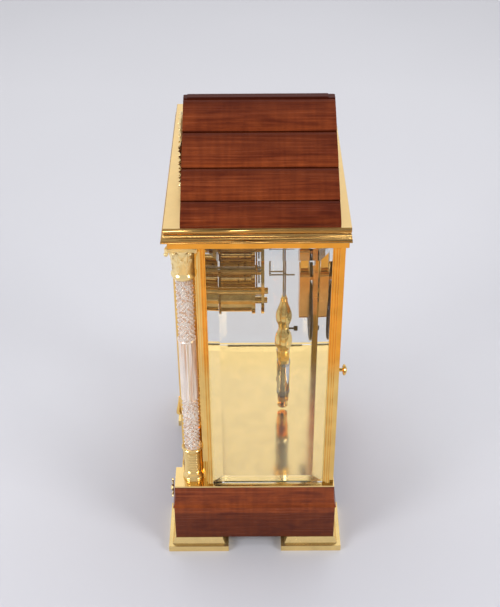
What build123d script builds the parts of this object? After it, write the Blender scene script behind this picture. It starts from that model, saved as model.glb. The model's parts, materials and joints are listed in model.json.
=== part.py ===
"""Four glass mantel clock with a pediment roof and cut crystal corner columns.

Millimetres, +Z up, front towards -Y. The origin is on the table, under the middle of the four feet.
"""
import math
import os

from build123d import *

os.makedirs("parts", exist_ok=True)

# General fits
overrun = 1.0  # how far a cut runs past the face that it opens
quarter_turn = 90.0  # degrees
half_turn = 180.0  # degrees
running_gap = 0.05  # radial clearance of a pivot, pin or pipe that turns
seat_gap = 0.1  # clearance of a fixed piece in its groove or hole
mesh_gap = 0.2  # from the teeth of a wheel to those of its pinion

# Feet
foot_size = 56.0
foot_height = 13.0
foot_plinth_height = 6.5
foot_ledge = 3.5
foot_cove = 2.3
foot_overhang_x = 6.2
foot_overhang_y = 6.8
foot_screw_radius = 2.0
foot_screw_head_radius = 4.3
foot_screw_head_height = 3.0
foot_screw_recess = 4.2
foot_screw_bite = 15.0

# Mahogany base
base_margin = 3.3  # how far the base's sides stand out past the case
base_back_margin = 2.4  # how far its back stands out past the back door
base_lower_height = 39.5
base_upper_height = 23.9
base_flare = 1.0
base_top_inset = 1.6
block_width = 28.0
front_recess = 5.6
flare_shares = ((0.0, 0.0), (0.12, 0.42), (0.3, 0.72), (0.6, 0.93), (1.0, 1.0))
base_plate_thickness = 1.5
block_mount_radius = 9.0
block_mount_petals = 12
block_mount_relief = 2.6
block_mount_boss_radius = 3.4

# Glass case
case_half_width = 105.5
case_height = 254.8
front_post_front = -46.0
front_post_width = 8.6
front_post_bevel = 4.4
post_depth = 7.1
back_post_front = 61.4
back_post_width = 6.2
back_post_bead = 2.7
back_post_step = 0.9
pane_thickness = 4.5
pane_edge = 2.0
pane_bevel = 11.4
pane_inset = 0.3
pane_groove = 2.0

# Front frame between the columns
return_inset = 28.5
return_thickness = 2.5
return_front = -60.0
jamb_front = -41.8
sill_back = -57.4
sill_height = 2.5
front_face = -65.8

# Doors
door_gap = 0.3
front_door_thickness = 5.5
door_stile = 9.0
front_pane_thickness = 4.0
door_pane_edge = 1.8
door_pane_bevel = 9.0
back_door_thickness = 3.6
back_door_stile = 10.0
back_door_inset = 2.0
back_door_gap = 0.1
back_pane_thickness = 2.6
back_pane_edge = 1.4
pin_radius = 1.0
pin_depth = 6.0
pin_seat = 1.4
knob_height = 127.1
knob_stem_radius = 1.2
knob_neck_radius = 1.6
knob_clearance = 0.1
knob_radius = 5.0
knob_stem_length = 3.2
knob_head_length = 3.8
knob_shares = ((0.0, 0.62), (0.25, 1.0), (0.6, 0.92), (0.85, 0.6), (1.0, 0.24))
latch_length = 3.6
latch_width = 2.4
latch_thickness = 1.4
latch_lip = 1.2
latch_slack = 0.3
latch_sweep = 4.2
drop_height = 18.3
drop_low = 58.8
drop_radius = 4.0
drop_shares = ((1.0, 0.0), (0.96, 0.12), (0.7, 0.4), (0.42, 0.75), (0.3, 1.0))

# Corner columns
column_inset = 13.2
column_y = -55.5
socle_height = 37.6
socle_radius = 9.6
socle_shares = (
    (0.98, 0.0), (0.98, 0.06), (0.92, 0.09), (0.94, 0.12), (0.86, 0.18), (0.76, 0.23), (0.66, 0.25),
    (0.7, 0.29), (0.65, 0.32), (0.65, 0.39), (0.7, 0.42), (0.66, 0.45), (0.71, 0.48), (0.71, 0.58),
    (0.67, 0.6), (0.71, 0.62), (0.71, 0.72), (0.67, 0.74), (0.71, 0.76), (0.72, 0.86), (0.8, 0.89),
    (0.94, 0.93), (1.0, 0.96), (1.0, 1.0),
)
crystal_radius = 7.4
crystal_seat = 3.0
crystal_ring_share = 0.655
flute_low_share = 0.31
crystal_ring_height = 2.2
crystal_ring_proud = 0.5
flute_count = 12
flute_depth = 0.9
flute_radius = 1.7
capital_radius = 10.2
capital_shares = (
    (0.92, 0.0), (1.0, 0.03), (1.0, 0.15), (0.92, 0.18), (0.84, 0.21), (0.84, 0.32), (0.92, 0.5),
    (1.0, 0.65), (1.03, 0.8), (1.12, 0.93), (1.12, 1.0),
)
capital_bell_height = 29.2
abacus_side = 26.4
abacus_height = 3.2
abacus_hollow = 2.6
abacus_corner = 2.2
abacus_block_side = 21.0
abacus_block_height = 0.8
column_clearance = 0.3

# Frieze, cornice and roof
frieze_height = 5.3
frieze_front = -66.3
frieze_back = 73.8
roof_opening_half = 60.0
roof_opening = (-28.0, 4.0)
cornice_height = 14.5
cornice_flare = 4.6
cornice_back_share = 0.37
cornice_fascia = 2.2
cornice_shares = (
    (0.0, 0.0), (0.7, 0.04), (1.0, 0.1), (1.0, 0.2), (0.94, 0.27), (0.72, 0.4), (0.52, 0.5),
    (0.42, 0.6), (0.36, 0.66),
)
cornice_wall = 9.0
cornice_top = 2.5
cornice_groove_outset = 0.7
cornice_groove_height = 0.5
roof_front = -55.5
roof_back = 66.5
roof_margin = 1.8
roof_rise = 57.7
roof_eave = 2.0
roof_ridge_half = 3.5
roof_board = 10.5
course_shares = (0.0, 0.19, 0.443, 0.73, 1.0)
course_bulge_share = 0.05
gable_thickness = 8.0
ridge_height = 0.8
ridge_half_width = 3.2
ridge_front_inset = 3.2
ridge_back_inset = 5.5
wreath_radius = 19.0
wreath_inner_radius = 12.5
wreath_rise = 23.5
wreath_relief = 5.0
wreath_boss_radius = 5.5
scroll_reach = 62.0
scroll_relief = 4.0
scroll_radius = 7.6
scroll_end_share = 0.34
scroll_drop = 13.0
scroll_wave = 3.0
scroll_beads = 14

# Movement
movement_drop = 87.7  # from the frieze down to the centre of the movement
plate_radius = 41.0
front_plate_front = -34.8
front_plate_thickness = 3.0
back_plate_front = 6.8
back_plate_thickness = 2.7
pillar_radius = 3.2
pillar_pitch_radius = 35.5
pillar_degrees = (0.0, 60.0, 150.0, 270.0)
pillar_screw_radius = 2.8
pillar_screw_neck = 1.6
pillar_screw_height = 3.2
arbor_radius = 1.2
pivot_radius = 0.7
barrel_x = 18.0
barrel_drop = 16.0
barrel_radius = 15.5
barrel_wall = 1.2
barrel_back = -2.0
barrel_flange_radius = 17.3
barrel_flange = (-1.5, 1.7)
great_wheel_radius = 17.5
great_wheel = (-30.3, -28.3)
great_wheel_teeth = 84
tooth_depth = 1.1
winding_radius = 2.0
winding_square = 2.9
winding_end = -52.4
ratchet_radius = 8.5
ratchet = (-37.6, -35.8)
ratchet_teeth = 24
ratchet_tooth = 1.2
hook_radius = 4.0
click_x = 27.0
click_rise = -4.5
click_pin_radius = 1.1
click_hub_radius = 1.9
click_gap = 0.3
intermediate_at = (16.0, 4.6)
intermediate_radius = 14.0
intermediate_teeth = 70
great_pinion_leaves = 12
rear_wheel_near = (2.3, 3.5)
rear_wheel_far = (4.5, 5.7)
centre_wheel_radius = 14.0
centre_teeth = 80
centre_leaves = 10
centre_pinion_radius = 2.5
great_pinion_radius = 3.0
third_at = (-8.8, 13.7)
third_radius = 9.3
third_teeth = 81
third_leaves = 8
third_wheel_span = (-8.0, -6.8)
third_pinion_radius = 2.1
escape_rise = 21.0
escape_radius = 10.0
escape_wheel_span = (-14.0, -12.8)
escape_teeth = 33
escape_tooth = 1.6
escape_leaves = 6
escape_pinion_radius = 1.85
pin_wheel_at = (-27.0, 2.6)
pin_wheel_radius = 11.3
pin_wheel_teeth = 66
fly_at = (-20.5, 14.5)
fly_pinion_radius = 2.0
fly_leaves = 6
fly_radius = 6.6
fly_thickness = 0.6
strike_pins = 8
strike_pin_radius = 0.6
strike_pin_length = 2.6
fly_span = (-22.0, -9.0)
train_tooth = 0.9
pinion_tooth = 0.6
tooth_shares = ((0.0, 0.0), (0.2, 1.0), (0.5, 1.0), (0.7, 0.0))
wheel_hub = 3.0
wheel_rim = 1.6
wheel_spoke = 1.7
pinion_margin = 0.6
anchor_rise = 35.5
anchor_gap = 1.1
anchor_hub = 3.0
anchor_reach = 9.0
anchor_thickness = 1.6
crutch_y = 15.0
crutch_radius = 0.8
crutch_rise = -6.0
prong_x = 2.6
crutch_long = 37.0
crutch_short = 28.8
hanger_half_width = 14.5
hanger_slot_half = 10.0
hanger_thickness = 3.0
hanger_lap = 12.0

# Dial, bezel and hands
dial_radius = 52.0
dial_front = -53.0
dial_thickness = 2.0
dial_hole_radius = 4.2
dial_centre_hole = 3.6
dial_foot_radius = 1.8
dial_foot_pitch_radius = 36.0
dial_foot_degrees = (25.0, 155.0, 290.0)
bezel_radius = 57.0
bezel_inner_radius = 49.0
bezel_front = -57.2
bezel_back = -49.4
hand_thickness = 0.7
hour_hand_front = -54.7
minute_hand_front = -56.0
minute_hand_length = 44.0
hour_hand_length = 31.0
hand_tail = 9.0
hand_hub_radius = 3.2
hand_stem = 1.3
hand_leaf = 3.4
minute_pipe_radius = 1.8
hour_pipe_radius = 2.6
cannon_pinion = (-38.6, -36.2)
cannon_pinion_radius = 3.2
cannon_leaves = 12
minute_wheel_span = (-38.4, -37.2)
minute_wheel_radius = 9.6
minute_wheel_teeth = 36
minute_leaves = 10
minute_wheel_degrees = 100.0
hour_wheel = (-41.4, -40.2)
minute_stud_radius = 1.0
minute_pinion_radius = 2.4
hour_wheel_radius = 10.4
hour_wheel_teeth = 40
stud_proud = 0.8
dial_foot_bite = 2.0
bezel_front_step = 2.4
hand_waist_share = 0.76

# Pendulum
pendulum_y = 28.0
rod_radius = 1.5
hook_half = 1.8
hook_wall = 1.0
hook_height = 5.0
spring_slack = 0.4
spring_grip = 3.4
spring_low_rise = 27.0
spring_top_rise = 40.6
spring_width = 5.0
spring_thickness = 0.5
cock_height = 6.0
cock_half_width = 5.0
ornament_low = 72.1
ornament_drop = 31.0
ornament_radius = 9.2
ornament_shares = (
    (0.52, 0.0), (0.56, 0.05), (0.48, 0.1), (0.58, 0.15), (0.82, 0.22), (0.96, 0.28), (0.97, 0.33),
    (0.84, 0.4), (0.68, 0.46), (0.64, 0.5), (0.78, 0.55), (0.98, 0.61), (1.0, 0.66), (0.92, 0.72),
    (0.72, 0.79), (0.5, 0.85), (0.42, 0.9), (0.36, 0.95), (0.3, 1.0),
)
jar_radius = 6.3
jar_offset = 8.5
jar_low = 26.4
jar_round = 2.4
yoke_half_width = 15.2
yoke_half_depth = 5.2
yoke_height = 4.0
yoke_round = 3.0
neck_radius = 3.6
neck_low = 10.0
thread_radius = 1.2
nut_radius = 5.0
nut_height = 4.2
nut_low = 4.4
nut_shares = ((0.62, 0.0), (1.0, 0.25), (1.0, 0.75), (0.62, 1.0))
thread_low = 2.6
adjuster_share = 0.42
adjuster_reach = 9.3
adjuster_radius = 2.3
adjuster_length = 3.6
adjuster_stem_radius = 0.9

# Gong and hammer
gong_y = 51.8
gong_drop = 45.0
gong_wire_radius = 1.2
gong_start_radius = 9.0
gong_pitch = 4.9
gong_half_turns = 9
gong_block_front = 41.3
gong_block_back = 50.2
gong_block_half = 11.5
gong_block_drop = 49.0
gong_block_round = 3.4
gong_plate_front = 53.4
gong_plate_back = 58.0
gong_plate_half = 6.0
gong_plate_inset = 1.0
gong_hub_radius = 4.5
gong_lug_half = 2.0
gong_lug_height = 3.6
hanger_bar_half = 5.0
hanger_bar_front = (42.0, 49.0)
hanger_bar_back = (55.0, 58.0)
gong_screw_drops = (14.0, 20.0, 30.0, 36.0)
gong_screw_radius = 2.0
gong_screw_height = 1.5
gong_stud_radius = 1.5
stud_drop = 9.1
gong_stud_length = 14.0
hammer_at = (-27.0, 21.0)
hammer_drop = 6.0
hammer_head_radius = 3.4
hammer_head_length = 7.0
hammer_arm_radius = 0.9
hammer_rest_gap = 1.2

# Levels and places worked out from the sizes above
back_post_back = back_post_front + back_post_width
back_door_front = back_post_back + back_door_gap
back_door_back = back_door_front + back_door_thickness
base_half_width = case_half_width + base_margin
base_half_depth = back_door_back + base_back_margin
foot_reach_x = base_half_width + foot_overhang_x
foot_reach_y = base_half_depth + foot_overhang_y
foot_spacing_x = 2 * foot_reach_x - foot_size
foot_spacing_y = 2 * foot_reach_y - foot_size
foot_taper = math.degrees(math.atan(foot_cove / (foot_height - foot_plinth_height)))
base_fold = foot_height + base_lower_height
base_top = base_fold + base_upper_height
floor_level = base_top + base_plate_thickness
case_top = floor_level + case_height
frieze_top = case_top + frieze_height
cornice_level = frieze_top + cornice_height
block_inner_x = base_half_width - block_width
block_mount_x = base_half_width - block_width / 2
block_mount_z = base_fold + base_upper_height / 2
return_half_width = case_half_width - return_inset
front_post_back = front_post_front + front_post_width
post_inner_x = case_half_width - post_depth
pane_outer_x = case_half_width - pane_inset
pane_inner_x = pane_outer_x - pane_thickness
front_door_back = front_face + front_door_thickness
front_door_low = floor_level + sill_height + door_gap
front_door_high = case_top - sill_height - door_gap
front_door_half = return_half_width - door_gap / 2
front_pin_x = front_door_half - front_door_thickness / 2
front_pin_y = front_face + front_door_thickness / 2
back_door_half = case_half_width - back_door_inset
back_door_low = floor_level + door_gap
back_door_high = case_top - door_gap
back_pin_x = -back_door_half + back_door_thickness / 2
back_pin_y = back_door_front + back_door_thickness / 2
knob_z = floor_level + knob_height
front_knob_x = -front_door_half + door_stile / 2
drop_x = front_door_half - door_stile / 2
drop_z = floor_level + drop_low
back_knob_x = back_door_half - back_door_stile + pane_groove + seat_gap + knob_stem_radius + running_gap
column_x = case_half_width - column_inset
socle_top = floor_level + socle_height
crystal_low = socle_top - crystal_seat
abacus_low = case_top - abacus_block_height - abacus_height
capital_low = abacus_low - capital_bell_height
crystal_top = capital_low + crystal_seat
crystal_length = crystal_top - crystal_low
roof_half_width = case_half_width + roof_margin
roof_eave_z = cornice_level + roof_eave
roof_ridge_z = cornice_level + roof_rise + ridge_height
wreath_z = cornice_level + wreath_rise
front_plate_back = front_plate_front + front_plate_thickness
back_plate_back = back_plate_front + back_plate_thickness
movement_z = case_top - movement_drop
barrel_z = movement_z - barrel_drop
anchor_z = movement_z + anchor_rise
escape_z = movement_z + escape_rise
gong_z = movement_z - gong_drop
dial_back = dial_front + dial_thickness
minute_wheel_distance = cannon_pinion_radius + minute_wheel_radius + mesh_gap
minute_wheel_x = minute_wheel_distance * math.cos(math.radians(minute_wheel_degrees))
minute_wheel_rise = minute_wheel_distance * math.sin(math.radians(minute_wheel_degrees))
minute_wheel_z = movement_z + minute_wheel_rise
jar_z = floor_level + jar_low
ornament_z = floor_level + ornament_low
ornament_height = movement_z - ornament_drop - ornament_z
spring_low = movement_z + spring_low_rise
spring_top = movement_z + spring_top_rise
cock_low = spring_top - spring_grip
adjuster_z = ornament_z + ornament_height * adjuster_share
adjuster_front = pendulum_y + adjuster_reach
stud_low = movement_z - stud_drop
gong_outer = gong_start_radius + (gong_half_turns - 1) * gong_pitch / 2
hammer_z = gong_z - hammer_drop
hammer_x = -(math.sqrt(gong_outer**2 - hammer_drop**2) + gong_wire_radius + hammer_rest_gap + hammer_head_length / 2)


def save(piece, label):
    """Labels a finished sub-part and writes its STEP file."""
    piece.part.label = label
    export_step(piece.part, f"parts/{label}.step")


def upright(x, y, z=0.0):
    """A plane that faces the front, with its own Y upwards; extrusions go towards the front."""
    return Plane(origin=(x, y, z), x_dir=(1, 0, 0), z_dir=(0, -1, 0))


def rearward(x, y, z=0.0):
    """A plane that faces the back, with its own Y upwards; extrusions go towards the back."""
    return Plane(origin=(x, y, z), x_dir=(-1, 0, 0), z_dir=(0, 1, 0))


def bar(low, high, mode=Mode.ADD):
    """A box from its lowest corner to its highest one."""
    with BuildSketch(Plane.XY.offset(low[2])) as outline:
        with Locations(((low[0] + high[0]) / 2, (low[1] + high[1]) / 2)):
            Rectangle(high[0] - low[0], high[1] - low[1])
    extrude(outline.sketch, amount=high[2] - low[2], mode=mode)


def rod_along_y(x, z, radius, front, back, mode=Mode.ADD):
    """A round bar or bore that runs from front to back."""
    with BuildSketch(upright(x, back, z)) as outline:
        Circle(radius)
    extrude(outline.sketch, amount=back - front, mode=mode)


def rod_along_z(x, y, radius, low, high, mode=Mode.ADD):
    """A round upright bar or bore."""
    with BuildSketch(Plane.XY.offset(low)) as outline:
        with Locations((x, y)):
            Circle(radius)
    extrude(outline.sketch, amount=high - low, mode=mode)


def outline_face(points):
    """Fills a closed outline of straight lines in the sketch that is open."""
    with BuildLine() as outline:
        Polyline(*points, close=True)
    make_face(outline.edges())


def turned(x, y, low, radius, height, shares):
    """Turns a solid about an upright axis from (radius share, height share) pairs."""
    points = [(radius * r, height * h) for r, h in shares]
    with BuildSketch(upright(x, y, low)) as profile:
        outline_face([(0, height * shares[0][1]), *points, (0, height * shares[-1][1])])
    revolve(profile.sketch, axis=Axis((x, y, low), (0, 0, 1)))


def knob(x, z, start, direction):
    """Turns the stem and head of a knob on a door; `start` is the door's outer face."""
    head = start + direction * knob_stem_length
    points = [(knob_radius * r, direction * knob_head_length * h) for h, r in knob_shares]
    with BuildSketch(Plane(origin=(x, head, z), x_dir=(1, 0, 0), z_dir=(0, 0, 1))) as profile:
        outline_face([(0, 0), *points, (0, direction * knob_head_length)])
    revolve(profile.sketch, axis=Axis((x, head, z), (0, 1, 0)))
    rod_along_y(x, z, knob_neck_radius, min(start, head), max(start, head))


def bevelled_pane(plane, width, height, edge, thickness, bevel):
    """A glass pane whose outer face is bevelled all round; `plane` is its inner face."""
    with BuildSketch(plane) as inner:
        Rectangle(width, height)
    extrude(inner.sketch, amount=edge)
    with BuildSketch(plane.offset(edge)) as rim:
        Rectangle(width - 2 * pane_groove, height - 2 * pane_groove)
    with BuildSketch(plane.offset(thickness)) as outer:
        Rectangle(width - 2 * bevel, height - 2 * bevel)
    loft([rim.sketch.face(), outer.sketch.face()], ruled=True)


def toothed_disc(teeth, radius, depth):
    """Draws a disc with straight-sided teeth around it."""
    points = []
    for tooth in range(teeth):
        for turn_share, depth_share in tooth_shares:
            angle = 2 * math.pi * (tooth + turn_share) / teeth
            reach = radius - depth * (1 - depth_share)
            points.append((reach * math.cos(angle), reach * math.sin(angle)))
    outline_face(points)


def train_wheel(x, z, radius, span, teeth, depth=train_tooth):
    """A spoked wheel with a toothed rim, between the two depths of `span`."""
    inner = radius - depth - wheel_rim
    with BuildSketch(upright(x, span[1], z)) as outline:
        toothed_disc(teeth, radius, depth)
        Circle(inner, mode=Mode.SUBTRACT)
        Circle(wheel_hub)
        Rectangle(2 * inner + wheel_rim, wheel_spoke)
        Rectangle(wheel_spoke, 2 * inner + wheel_rim)
    extrude(outline.sketch, amount=span[1] - span[0])


def pinion(x, z, radius, span, leaves):
    """A solid pinion that is a little wider than the wheel which lies at the depths of `span`."""
    with BuildSketch(upright(x, span[1] + pinion_margin, z)) as outline:
        toothed_disc(leaves, radius, pinion_tooth)
    extrude(outline.sketch, amount=span[1] - span[0] + 2 * pinion_margin)


def train_arbor(x, z):
    """An arbor between the plates, with a pivot in each of them."""
    rod_along_y(x, z, arbor_radius, front_plate_back + seat_gap, back_plate_front - seat_gap)
    rod_along_y(x, z, pivot_radius, front_plate_front, back_plate_back)


def base_outline(grow):
    """Draws the breakfront plan of the base, larger than its lower band by `grow` all round."""
    x = base_half_width + grow
    y = base_half_depth + grow
    inner = block_inner_x - grow
    recess = -(base_half_depth - front_recess + grow)
    outline_face([(x, y), (-x, y), (-x, -y), (-inner, -y), (-inner, recess), (inner, recess),
                  (inner, -y), (x, -y)])


def spread(low, high, share):
    """The value that lies at a share of the way from one value to another."""
    return low + (high - low) * share


# Feet and their screws
with BuildPart() as feet:
    with BuildSketch():
        with GridLocations(foot_spacing_x, foot_spacing_y, 2, 2):
            Rectangle(foot_size, foot_size)
    extrude(amount=foot_plinth_height)
    with BuildSketch(Plane.XY.offset(foot_plinth_height)):
        with GridLocations(foot_spacing_x, foot_spacing_y, 2, 2):
            Rectangle(foot_size - 2 * foot_ledge, foot_size - 2 * foot_ledge)
    extrude(amount=foot_height - foot_plinth_height, taper=foot_taper)
    with BuildSketch():
        with GridLocations(foot_spacing_x, foot_spacing_y, 2, 2):
            Circle(foot_screw_radius + seat_gap)
    extrude(amount=foot_height, mode=Mode.SUBTRACT)
    with BuildSketch():
        with GridLocations(foot_spacing_x, foot_spacing_y, 2, 2):
            Circle(foot_screw_head_radius + seat_gap)
    extrude(amount=foot_screw_recess, mode=Mode.SUBTRACT)
save(feet, "feet")

with BuildPart() as foot_screws:
    with BuildSketch(Plane.XY.offset(foot_screw_recess - foot_screw_head_height)):
        with GridLocations(foot_spacing_x, foot_spacing_y, 2, 2):
            Circle(foot_screw_head_radius)
    extrude(amount=foot_screw_head_height)
    with BuildSketch(Plane.XY.offset(foot_screw_recess)):
        with GridLocations(foot_spacing_x, foot_spacing_y, 2, 2):
            Circle(foot_screw_radius)
    extrude(amount=foot_height - foot_screw_recess + foot_screw_bite)
save(foot_screws, "foot_screws")

# Mahogany base: a plain lower band under one that flares out to it
with BuildPart() as wood_base:
    with BuildSketch(Plane.XY.offset(foot_height)):
        base_outline(0)
    extrude(amount=base_lower_height)
    for height_share, inset_share in flare_shares:
        with BuildSketch(Plane.XY.offset(spread(base_fold, base_top, height_share))):
            base_outline(spread(base_flare, -base_top_inset, inset_share))
    loft(ruled=True)
    with BuildSketch(Plane.XY.offset(foot_height)):
        with GridLocations(foot_spacing_x, foot_spacing_y, 2, 2):
            Circle(foot_screw_radius + seat_gap)
    extrude(amount=foot_screw_bite + seat_gap, mode=Mode.SUBTRACT)
save(wood_base, "wood_base")

# Gilt rosettes on the fronts of the two corner blocks
with BuildPart() as block_mounts:
    with BuildSketch(upright(0, -base_half_depth + base_top_inset + overrun, block_mount_z)):
        with Locations((-block_mount_x, 0), (block_mount_x, 0)):
            RegularPolygon(block_mount_radius, block_mount_petals)
    extrude(amount=block_mount_relief + overrun)
    with BuildSketch(upright(0, -base_half_depth, block_mount_z)):
        with Locations((-block_mount_x, 0), (block_mount_x, 0)):
            Circle(block_mount_boss_radius)
    extrude(amount=block_mount_relief)
    add(wood_base.part, mode=Mode.SUBTRACT)
save(block_mounts, "block_mounts")

# Polished brass floor of the case
with BuildPart() as base_plate:
    with BuildSketch(Plane.XY.offset(base_top)):
        base_outline(-base_top_inset)
    extrude(amount=base_plate_thickness)
    rod_along_z(back_pin_x, back_pin_y, pin_radius + running_gap, base_top, floor_level + overrun,
                Mode.SUBTRACT)
save(base_plate, "base_plate")

# Corner posts, grooved for the side glasses
with BuildPart() as case_posts:
    with BuildSketch(Plane.XY.offset(floor_level)):
        outline_face([(post_inner_x, front_post_front), (case_half_width - front_post_bevel, front_post_front),
                      (case_half_width, front_post_front + front_post_bevel),
                      (case_half_width, front_post_back), (post_inner_x, front_post_back)])
    extrude(amount=case_height)
    bar((pane_inner_x - seat_gap, front_post_back - pane_groove, floor_level),
        (pane_inner_x + pane_edge + seat_gap, front_post_back + overrun, case_top), Mode.SUBTRACT)
    bar((post_inner_x, back_post_front, floor_level),
        (case_half_width - back_post_step, back_post_back, case_top))
    bar((post_inner_x, back_post_front + back_post_bead, floor_level),
        (case_half_width, back_post_back, case_top))
    bar((pane_inner_x - seat_gap, back_post_front - overrun, floor_level),
        (pane_inner_x + pane_edge + seat_gap, back_post_front + pane_groove, case_top), Mode.SUBTRACT)
    mirror(about=Plane.YZ)
    bar((post_inner_x - overrun, back_post_back - latch_lip - latch_thickness - 2 * latch_slack,
         knob_z - latch_sweep),
        (back_knob_x + latch_sweep, back_post_back - latch_lip, knob_z + latch_sweep), Mode.SUBTRACT)
save(case_posts, "case_posts")

# Bevelled side glasses
pane_length = back_post_front - front_post_back + 2 * (pane_groove - seat_gap)
pane_middle_y = (back_post_front + front_post_back) / 2
pane_middle_z = (floor_level + case_top) / 2
with BuildPart() as side_glasses:
    for side in (-1, 1):
        inner_face = Plane(origin=(side * pane_inner_x, pane_middle_y, pane_middle_z),
                           x_dir=(0, side, 0), z_dir=(side, 0, 0))
        bevelled_pane(inner_face, pane_length, case_height - 2 * seat_gap, pane_edge, pane_thickness,
                      pane_bevel)
save(side_glasses, "side_glasses")

# Front frame that carries the door between the columns
with BuildPart() as front_frame:
    for side in (-1, 1):
        near = side * return_half_width
        far = side * (return_half_width - return_thickness)
        end = side * (post_inner_x - seat_gap)
        bar((min(near, far), return_front, floor_level), (max(near, far), jamb_front, case_top))
        bar((min(far, end), jamb_front, floor_level),
            (max(far, end), jamb_front + return_thickness, case_top))
    for low in (floor_level, case_top - sill_height):
        bar((-return_half_width, front_face, low), (return_half_width, sill_back, low + sill_height))
    for low in (floor_level, case_top - sill_height):
        rod_along_z(front_pin_x, front_pin_y, pin_radius + running_gap, low, low + sill_height,
                    Mode.SUBTRACT)
    bar((-return_half_width - overrun, return_front + latch_lip, knob_z - latch_sweep),
        (-return_half_width + return_thickness + overrun,
         return_front + latch_lip + latch_thickness + 2 * latch_slack, knob_z + latch_sweep),
        Mode.SUBTRACT)
save(front_frame, "front_frame")

# Front door, its glass, its knob with the latch and its small gilt drops
front_open_half = front_door_half - door_stile
front_open_height = front_door_high - front_door_low - 2 * door_stile
front_door_middle = (front_door_high + front_door_low) / 2
with BuildPart() as front_door:
    bar((-front_door_half, front_face, front_door_low), (front_pin_x, front_door_back, front_door_high))
    rod_along_z(front_pin_x, front_pin_y, front_door_thickness / 2, front_door_low, front_door_high)
    with BuildSketch(upright(0, front_door_back, front_door_middle)):
        Rectangle(2 * front_open_half, front_open_height)
    extrude(amount=front_door_thickness, mode=Mode.SUBTRACT)
    with BuildSketch(upright(0, front_door_back, front_door_middle)):
        Rectangle(2 * (front_open_half + pane_groove), front_open_height + 2 * pane_groove)
    extrude(amount=door_pane_edge + 2 * seat_gap, mode=Mode.SUBTRACT)
    for low in (front_door_low, front_door_high - pin_depth):
        rod_along_z(front_pin_x, front_pin_y, pin_radius + running_gap, low, low + pin_depth,
                    Mode.SUBTRACT)
    rod_along_y(front_knob_x, knob_z, knob_stem_radius + running_gap, front_face, front_door_back,
                Mode.SUBTRACT)
save(front_door, "front_door")

with BuildPart() as front_door_glass:
    bevelled_pane(upright(0, front_door_back - seat_gap, front_door_middle),
                  2 * (front_open_half + pane_groove - seat_gap),
                  front_open_height + 2 * (pane_groove - seat_gap), door_pane_edge,
                  front_pane_thickness, door_pane_bevel)
save(front_door_glass, "front_door_glass")

front_latch_y = return_front + latch_lip + latch_slack
with BuildPart() as front_door_knob:
    knob(front_knob_x, knob_z, front_face - knob_clearance, -1)
    rod_along_y(front_knob_x, knob_z, knob_stem_radius, front_face - knob_clearance,
                front_latch_y + latch_thickness)
    bar((front_knob_x - latch_width / 2, front_latch_y, knob_z),
        (front_knob_x + latch_width / 2, front_latch_y + latch_thickness, knob_z + latch_length))
save(front_door_knob, "front_door_knob")

with BuildPart() as door_mounts:
    for side in (-1, 1):
        turned(side * drop_x, front_face, drop_z, drop_radius, drop_height, drop_shares)
    bar((-front_door_half, front_face, drop_z - overrun),
        (front_door_half, front_door_back, drop_z + drop_height + overrun), Mode.SUBTRACT)
save(door_mounts, "door_mounts")

# Back door, its glass and its knob with the latch
back_open_half = back_door_half - back_door_stile
back_open_height = back_door_high - back_door_low - 2 * back_door_stile
back_door_middle = (back_door_high + back_door_low) / 2
with BuildPart() as back_door:
    bar((back_pin_x, back_door_front, back_door_low), (back_door_half, back_door_back, back_door_high))
    rod_along_z(back_pin_x, back_pin_y, back_door_thickness / 2, back_door_low, back_door_high)
    with BuildSketch(rearward(0, back_door_front, back_door_middle)):
        Rectangle(2 * back_open_half, back_open_height)
    extrude(amount=back_door_thickness, mode=Mode.SUBTRACT)
    with BuildSketch(rearward(0, back_door_front, back_door_middle)):
        Rectangle(2 * (back_open_half + pane_groove), back_open_height + 2 * pane_groove)
    extrude(amount=back_pane_edge + 2 * seat_gap, mode=Mode.SUBTRACT)
    for low in (back_door_low, back_door_high - pin_depth):
        rod_along_z(back_pin_x, back_pin_y, pin_radius + running_gap, low, low + pin_depth,
                    Mode.SUBTRACT)
    rod_along_y(back_knob_x, knob_z, knob_stem_radius + running_gap, back_door_front, back_door_back,
                Mode.SUBTRACT)
save(back_door, "back_door")

with BuildPart() as back_door_glass:
    bevelled_pane(rearward(0, back_door_front + seat_gap, back_door_middle),
                  2 * (back_open_half + pane_groove - seat_gap),
                  back_open_height + 2 * (pane_groove - seat_gap), back_pane_edge,
                  back_pane_thickness, door_pane_bevel)
save(back_door_glass, "back_door_glass")

back_latch_y = back_post_back - latch_lip - latch_slack
with BuildPart() as back_door_knob:
    knob(back_knob_x, knob_z, back_door_back + knob_clearance, 1)
    rod_along_y(back_knob_x, knob_z, knob_stem_radius, back_latch_y - latch_thickness,
                back_door_back + knob_clearance)
    bar((back_knob_x - latch_width / 2, back_latch_y - latch_thickness, knob_z),
        (back_knob_x + latch_width / 2, back_latch_y, knob_z + latch_length))
save(back_door_knob, "back_door_knob")

with BuildPart() as hinge_pins:
    rod_along_z(front_pin_x, front_pin_y, pin_radius, floor_level, front_door_low + pin_depth - door_gap)
    rod_along_z(front_pin_x, front_pin_y, pin_radius, front_door_high - pin_depth + door_gap, case_top)
    rod_along_z(back_pin_x, back_pin_y, pin_radius, floor_level - pin_seat,
                back_door_low + pin_depth - door_gap)
    rod_along_z(back_pin_x, back_pin_y, pin_radius, back_door_high - pin_depth + door_gap,
                case_top + pin_seat)
save(hinge_pins, "hinge_pins")

# Corner columns: turned socles, cut crystal shafts and leafy capitals
with BuildPart() as column_bases:
    for side in (-1, 1):
        turned(side * column_x, column_y, floor_level, socle_radius, socle_height, socle_shares)
        rod_along_z(side * column_x, column_y, crystal_radius + seat_gap, crystal_low, socle_top + overrun,
                    Mode.SUBTRACT)
save(column_bases, "column_bases")

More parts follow.
